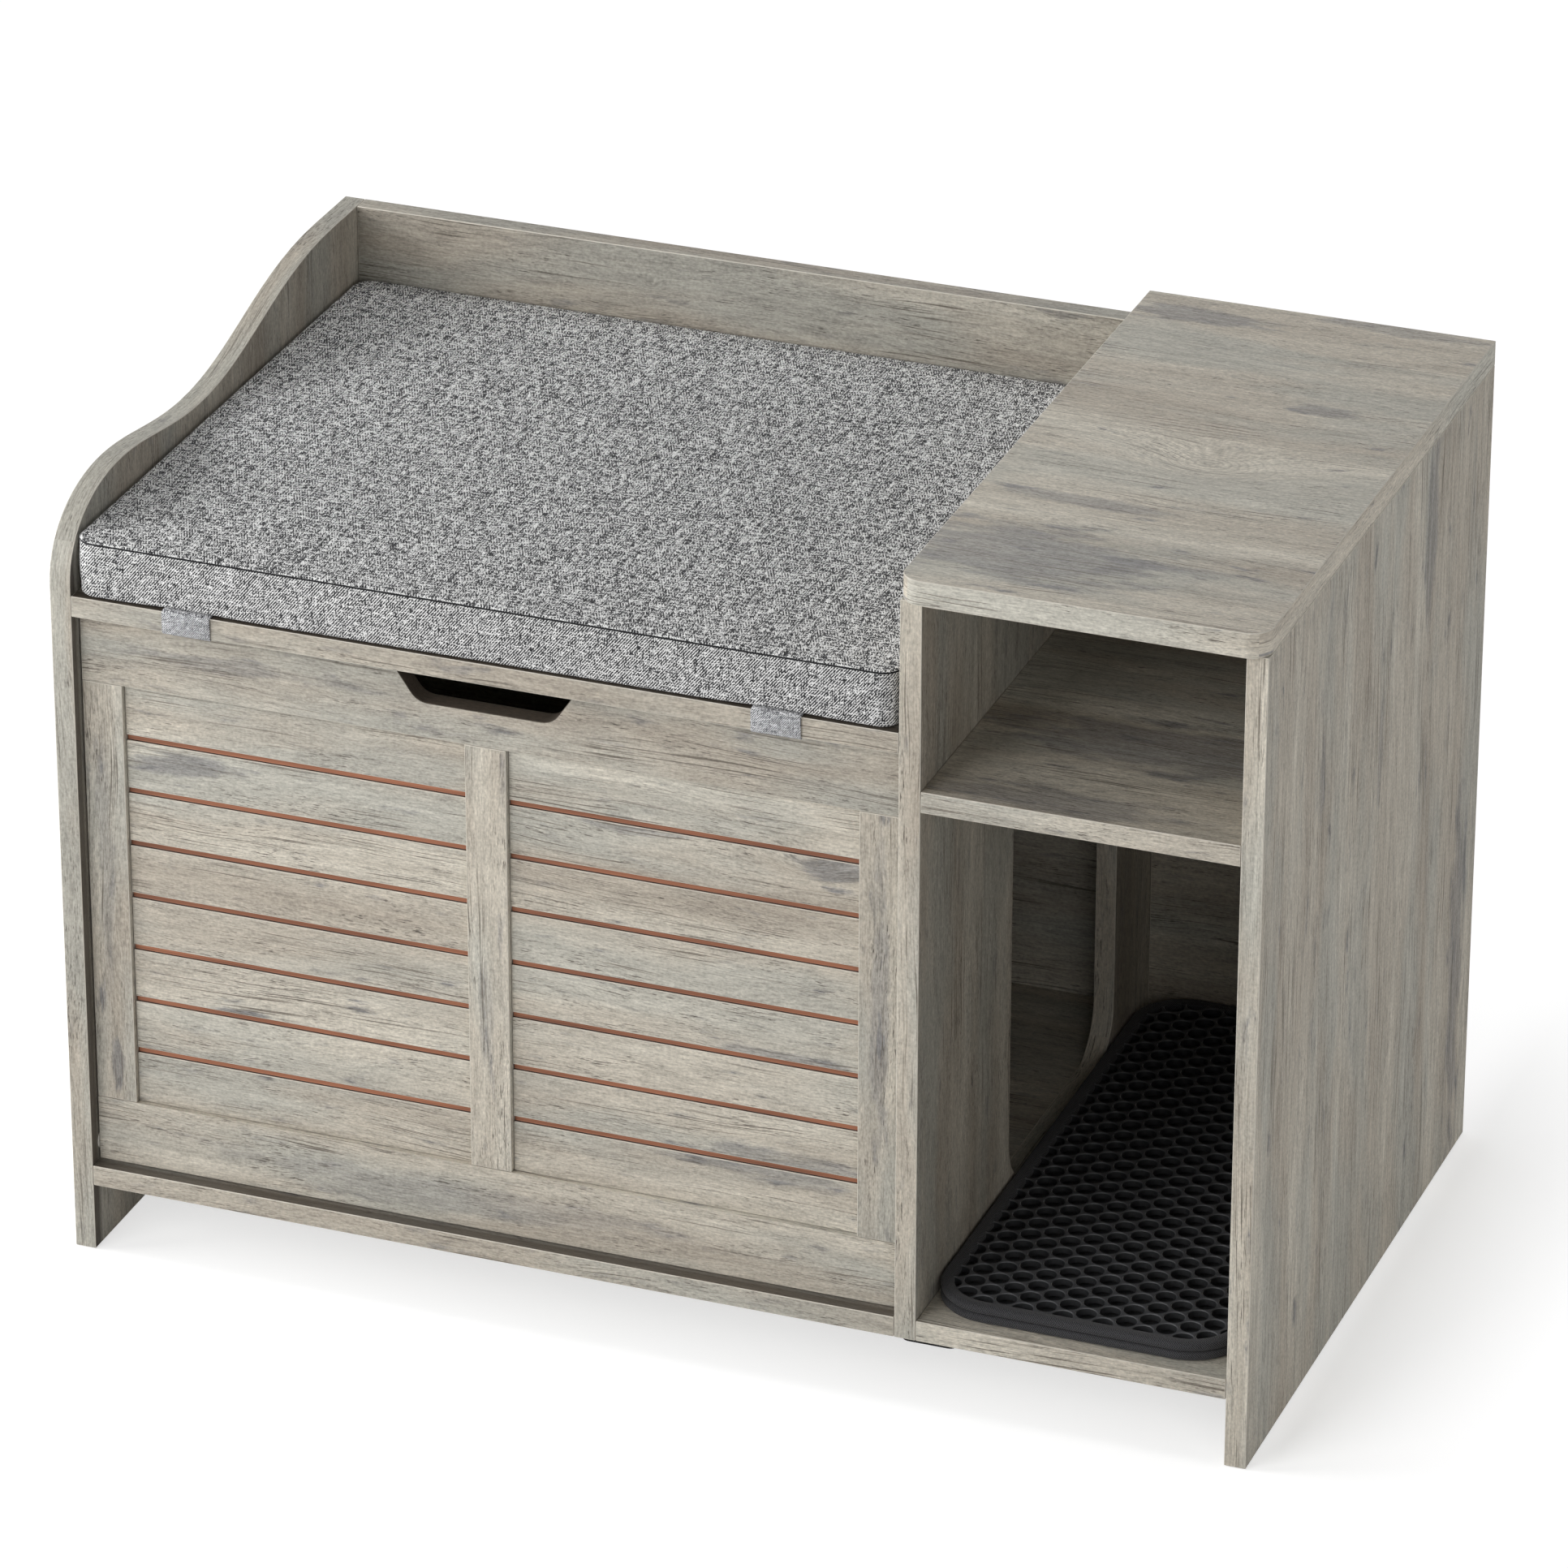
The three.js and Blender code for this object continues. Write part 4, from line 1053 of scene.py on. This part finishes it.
def bindingMesh(node):
    # the tape folded round the mat's edge: a rounded flat profile carried round the outline
    low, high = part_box(node)
    outline, normals = roundedOutline((low.x, low.y), (high.x, high.y), mat["cornerRadius"], 0.004, 24)
    halfWidth, halfHeight = mat["tapeWidth"] / 2, (high.z - low.z) / 2
    turn = np.radians(np.arange(0, 360, 15))
    # superellipse: flat above and below, round outside
    across = halfWidth * np.sign(np.cos(turn)) * np.abs(np.cos(turn)) ** 0.75
    up = halfHeight * np.sign(np.sin(turn)) * np.abs(np.sin(turn)) ** 0.62
    rings = np.zeros((len(turn), len(outline), 3))
    rings[..., :2] = outline - normals * (halfWidth - across)[:, None, None]
    rings[..., 2] = (low.z + high.z) / 2 + up[:, None]
    mesh = ringMesh("shown_" + node, rings, closedLoop=True)
    # the tape's own coordinates, in metres: along the outline and round the profile
    lengths, heights = runLength(outline), runLength(np.stack([across, up], -1))
    points = len(outline)
    corner = np.zeros(len(mesh.loops), int)
    mesh.loops.foreach_get("vertex_index", corner)
    row, point = corner // points, corner % points
    face = np.repeat(np.arange(len(mesh.polygons)), 4)
    faceRow, facePoint = face // points, face % points
    u = np.where((point == 0) & (facePoint == points - 1), lengths[-1], lengths[point])
    v = np.where((row == 0) & (faceRow == len(turn) - 1), heights[-1], heights[row])
    mesh.uv_layers.new(name="tape").data.foreach_set("uv", np.stack([u, v], -1).ravel())
    return mesh


foam = foamMaterial("charcoal foam", mat["wall"])
# lit copies of the foam: painted light on the upward faces and a painted highlight on the nearer rims
paintedLightFoam = foamMaterial("foam face, painted lighter", mat["face"])
paintedHighlightFoam = foamMaterial("foam rim, painted highlight", mat["rim"])
tape = tapeMaterial()
for level in ("lower", "upper"):
    binding = f"mat_{level}_binding"
    mesh = bindingMesh(binding)
    mesh.materials.append(tape)
    placePiece(f"{level}_mat_binding", mesh, "mat", [binding])

for level in ("lower", "upper"):
    layer = f"mat_{level}_layer"
    low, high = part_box(f"mat_{level}_binding")
    outline, normals = roundedOutline((low.x, low.y), (high.x, high.y), mat["cornerRadius"], 0.02, 12)
    outline = outline - normals * mat["foamInset"][level]
    low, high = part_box(layer)
    mesh = prismMesh("shown_" + layer, outline, low.z, high.z)
    mesh.materials.append(foam)
    sheet = placePiece(f"{level}_mat_foam", mesh, "mat", [layer])

# the holes go through the upper layer, the last one made
cutterMesh = holeCutters(outline.min(0), outline.max(0), low.z, high.z)
cutterMesh.materials.append(foam)
cutter = bpy.data.objects.new("hole_cutters", cutterMesh)
scene.collection.objects.link(cutter)
boolean = sheet.modifiers.new("holes", "BOOLEAN")
boolean.operation = "DIFFERENCE"
boolean.solver = "MANIFOLD"
boolean.object = cutter
bpy.context.view_layer.update()
cutMesh = bpy.data.meshes.new_from_object(sheet.evaluated_get(bpy.context.evaluated_depsgraph_get()))
sheet.modifiers.clear()
sheet.data = cutMesh
bpy.data.objects.remove(cutter)
cutMesh.materials.clear()
for material in (foam, paintedLightFoam, paintedHighlightFoam):
    cutMesh.materials.append(material)
# painted light by facing: the upward faces are drawn paler than the walls, and the rims' nearer halves
# palest, as a painted highlight
cutMesh.shade_smooth()
for face in cutMesh.polygons:
    sloped = 0.2 < face.normal.z < 0.97
    face.material_index = 2 if sloped and face.normal.y > 0.1 else 1 if face.normal.z > 0.2 else 0
cutMesh.set_sharp_from_angle(angle=math.radians(25))
print("mat done:", len(cutMesh.polygons), "faces")


# small fittings
def mouldedMaterial(name, colour, roughness, grainSize, metallic=0.0):
    # moulded or plated surface: fine grain, its size in mm, in the colour, the gloss and the relief
    material, tree = newMaterial(name)
    coordinates = addNode(tree, "ShaderNodeTexCoord", output="Object")
    fine = addNode(tree, "ShaderNodeTexNoise", {
        "Vector": coordinates, "Scale": 1000 / grainSize, "Detail": 3.0,
    })
    value = addNode(tree, "ShaderNodeMapRange", {0: fine, 1: 0.3, 2: 0.7, 3: 0.88, 4: 1.12})
    tint = addNode(tree, "ShaderNodeHueSaturation", {"Value": value, "Color": linear(colour)})
    gloss = addNode(tree, "ShaderNodeMapRange", {
        0: fine, 1: 0.3, 2: 0.7, 3: roughness + 0.08, 4: roughness - 0.08,
    })
    bump = addNode(tree, "ShaderNodeBump", {"Height": fine, "Distance": 0.00008, "Strength": 0.7})
    finishMaterial(tree, {"Base Color": tint, "Roughness": gloss, "Metallic": metallic, "Normal": bump})
    return material


fittings = {
    "foot": mouldedMaterial("black moulded plastic", "#1C1C1D", 0.55, 0.9),
    "cam_cap": mouldedMaterial("printed cover caps", "#A39B8D", 0.5, 1.2),
    "bush": mouldedMaterial("white nylon", "#D9D6CE", 0.42, 1.5),
    "magnet": mouldedMaterial("brown magnet housing", "#6B5D4E", 0.5, 1.2),
    "pin": mouldedMaterial("zinc-plated steel pin", "#B9BBBE", 0.32, 0.6, 1.0),
    "strike": mouldedMaterial("zinc-plated strike plate", "#B4B6BA", 0.36, 0.8, 1.0),
}
for name, piece in frame["nodes"].items():
    if piece.hide_render:
        continue
    kind = next(k for k in fittings if k in name)
    piece.data.materials.clear()
    piece.data.materials.append(fittings[kind])
print("fittings done")

low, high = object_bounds()
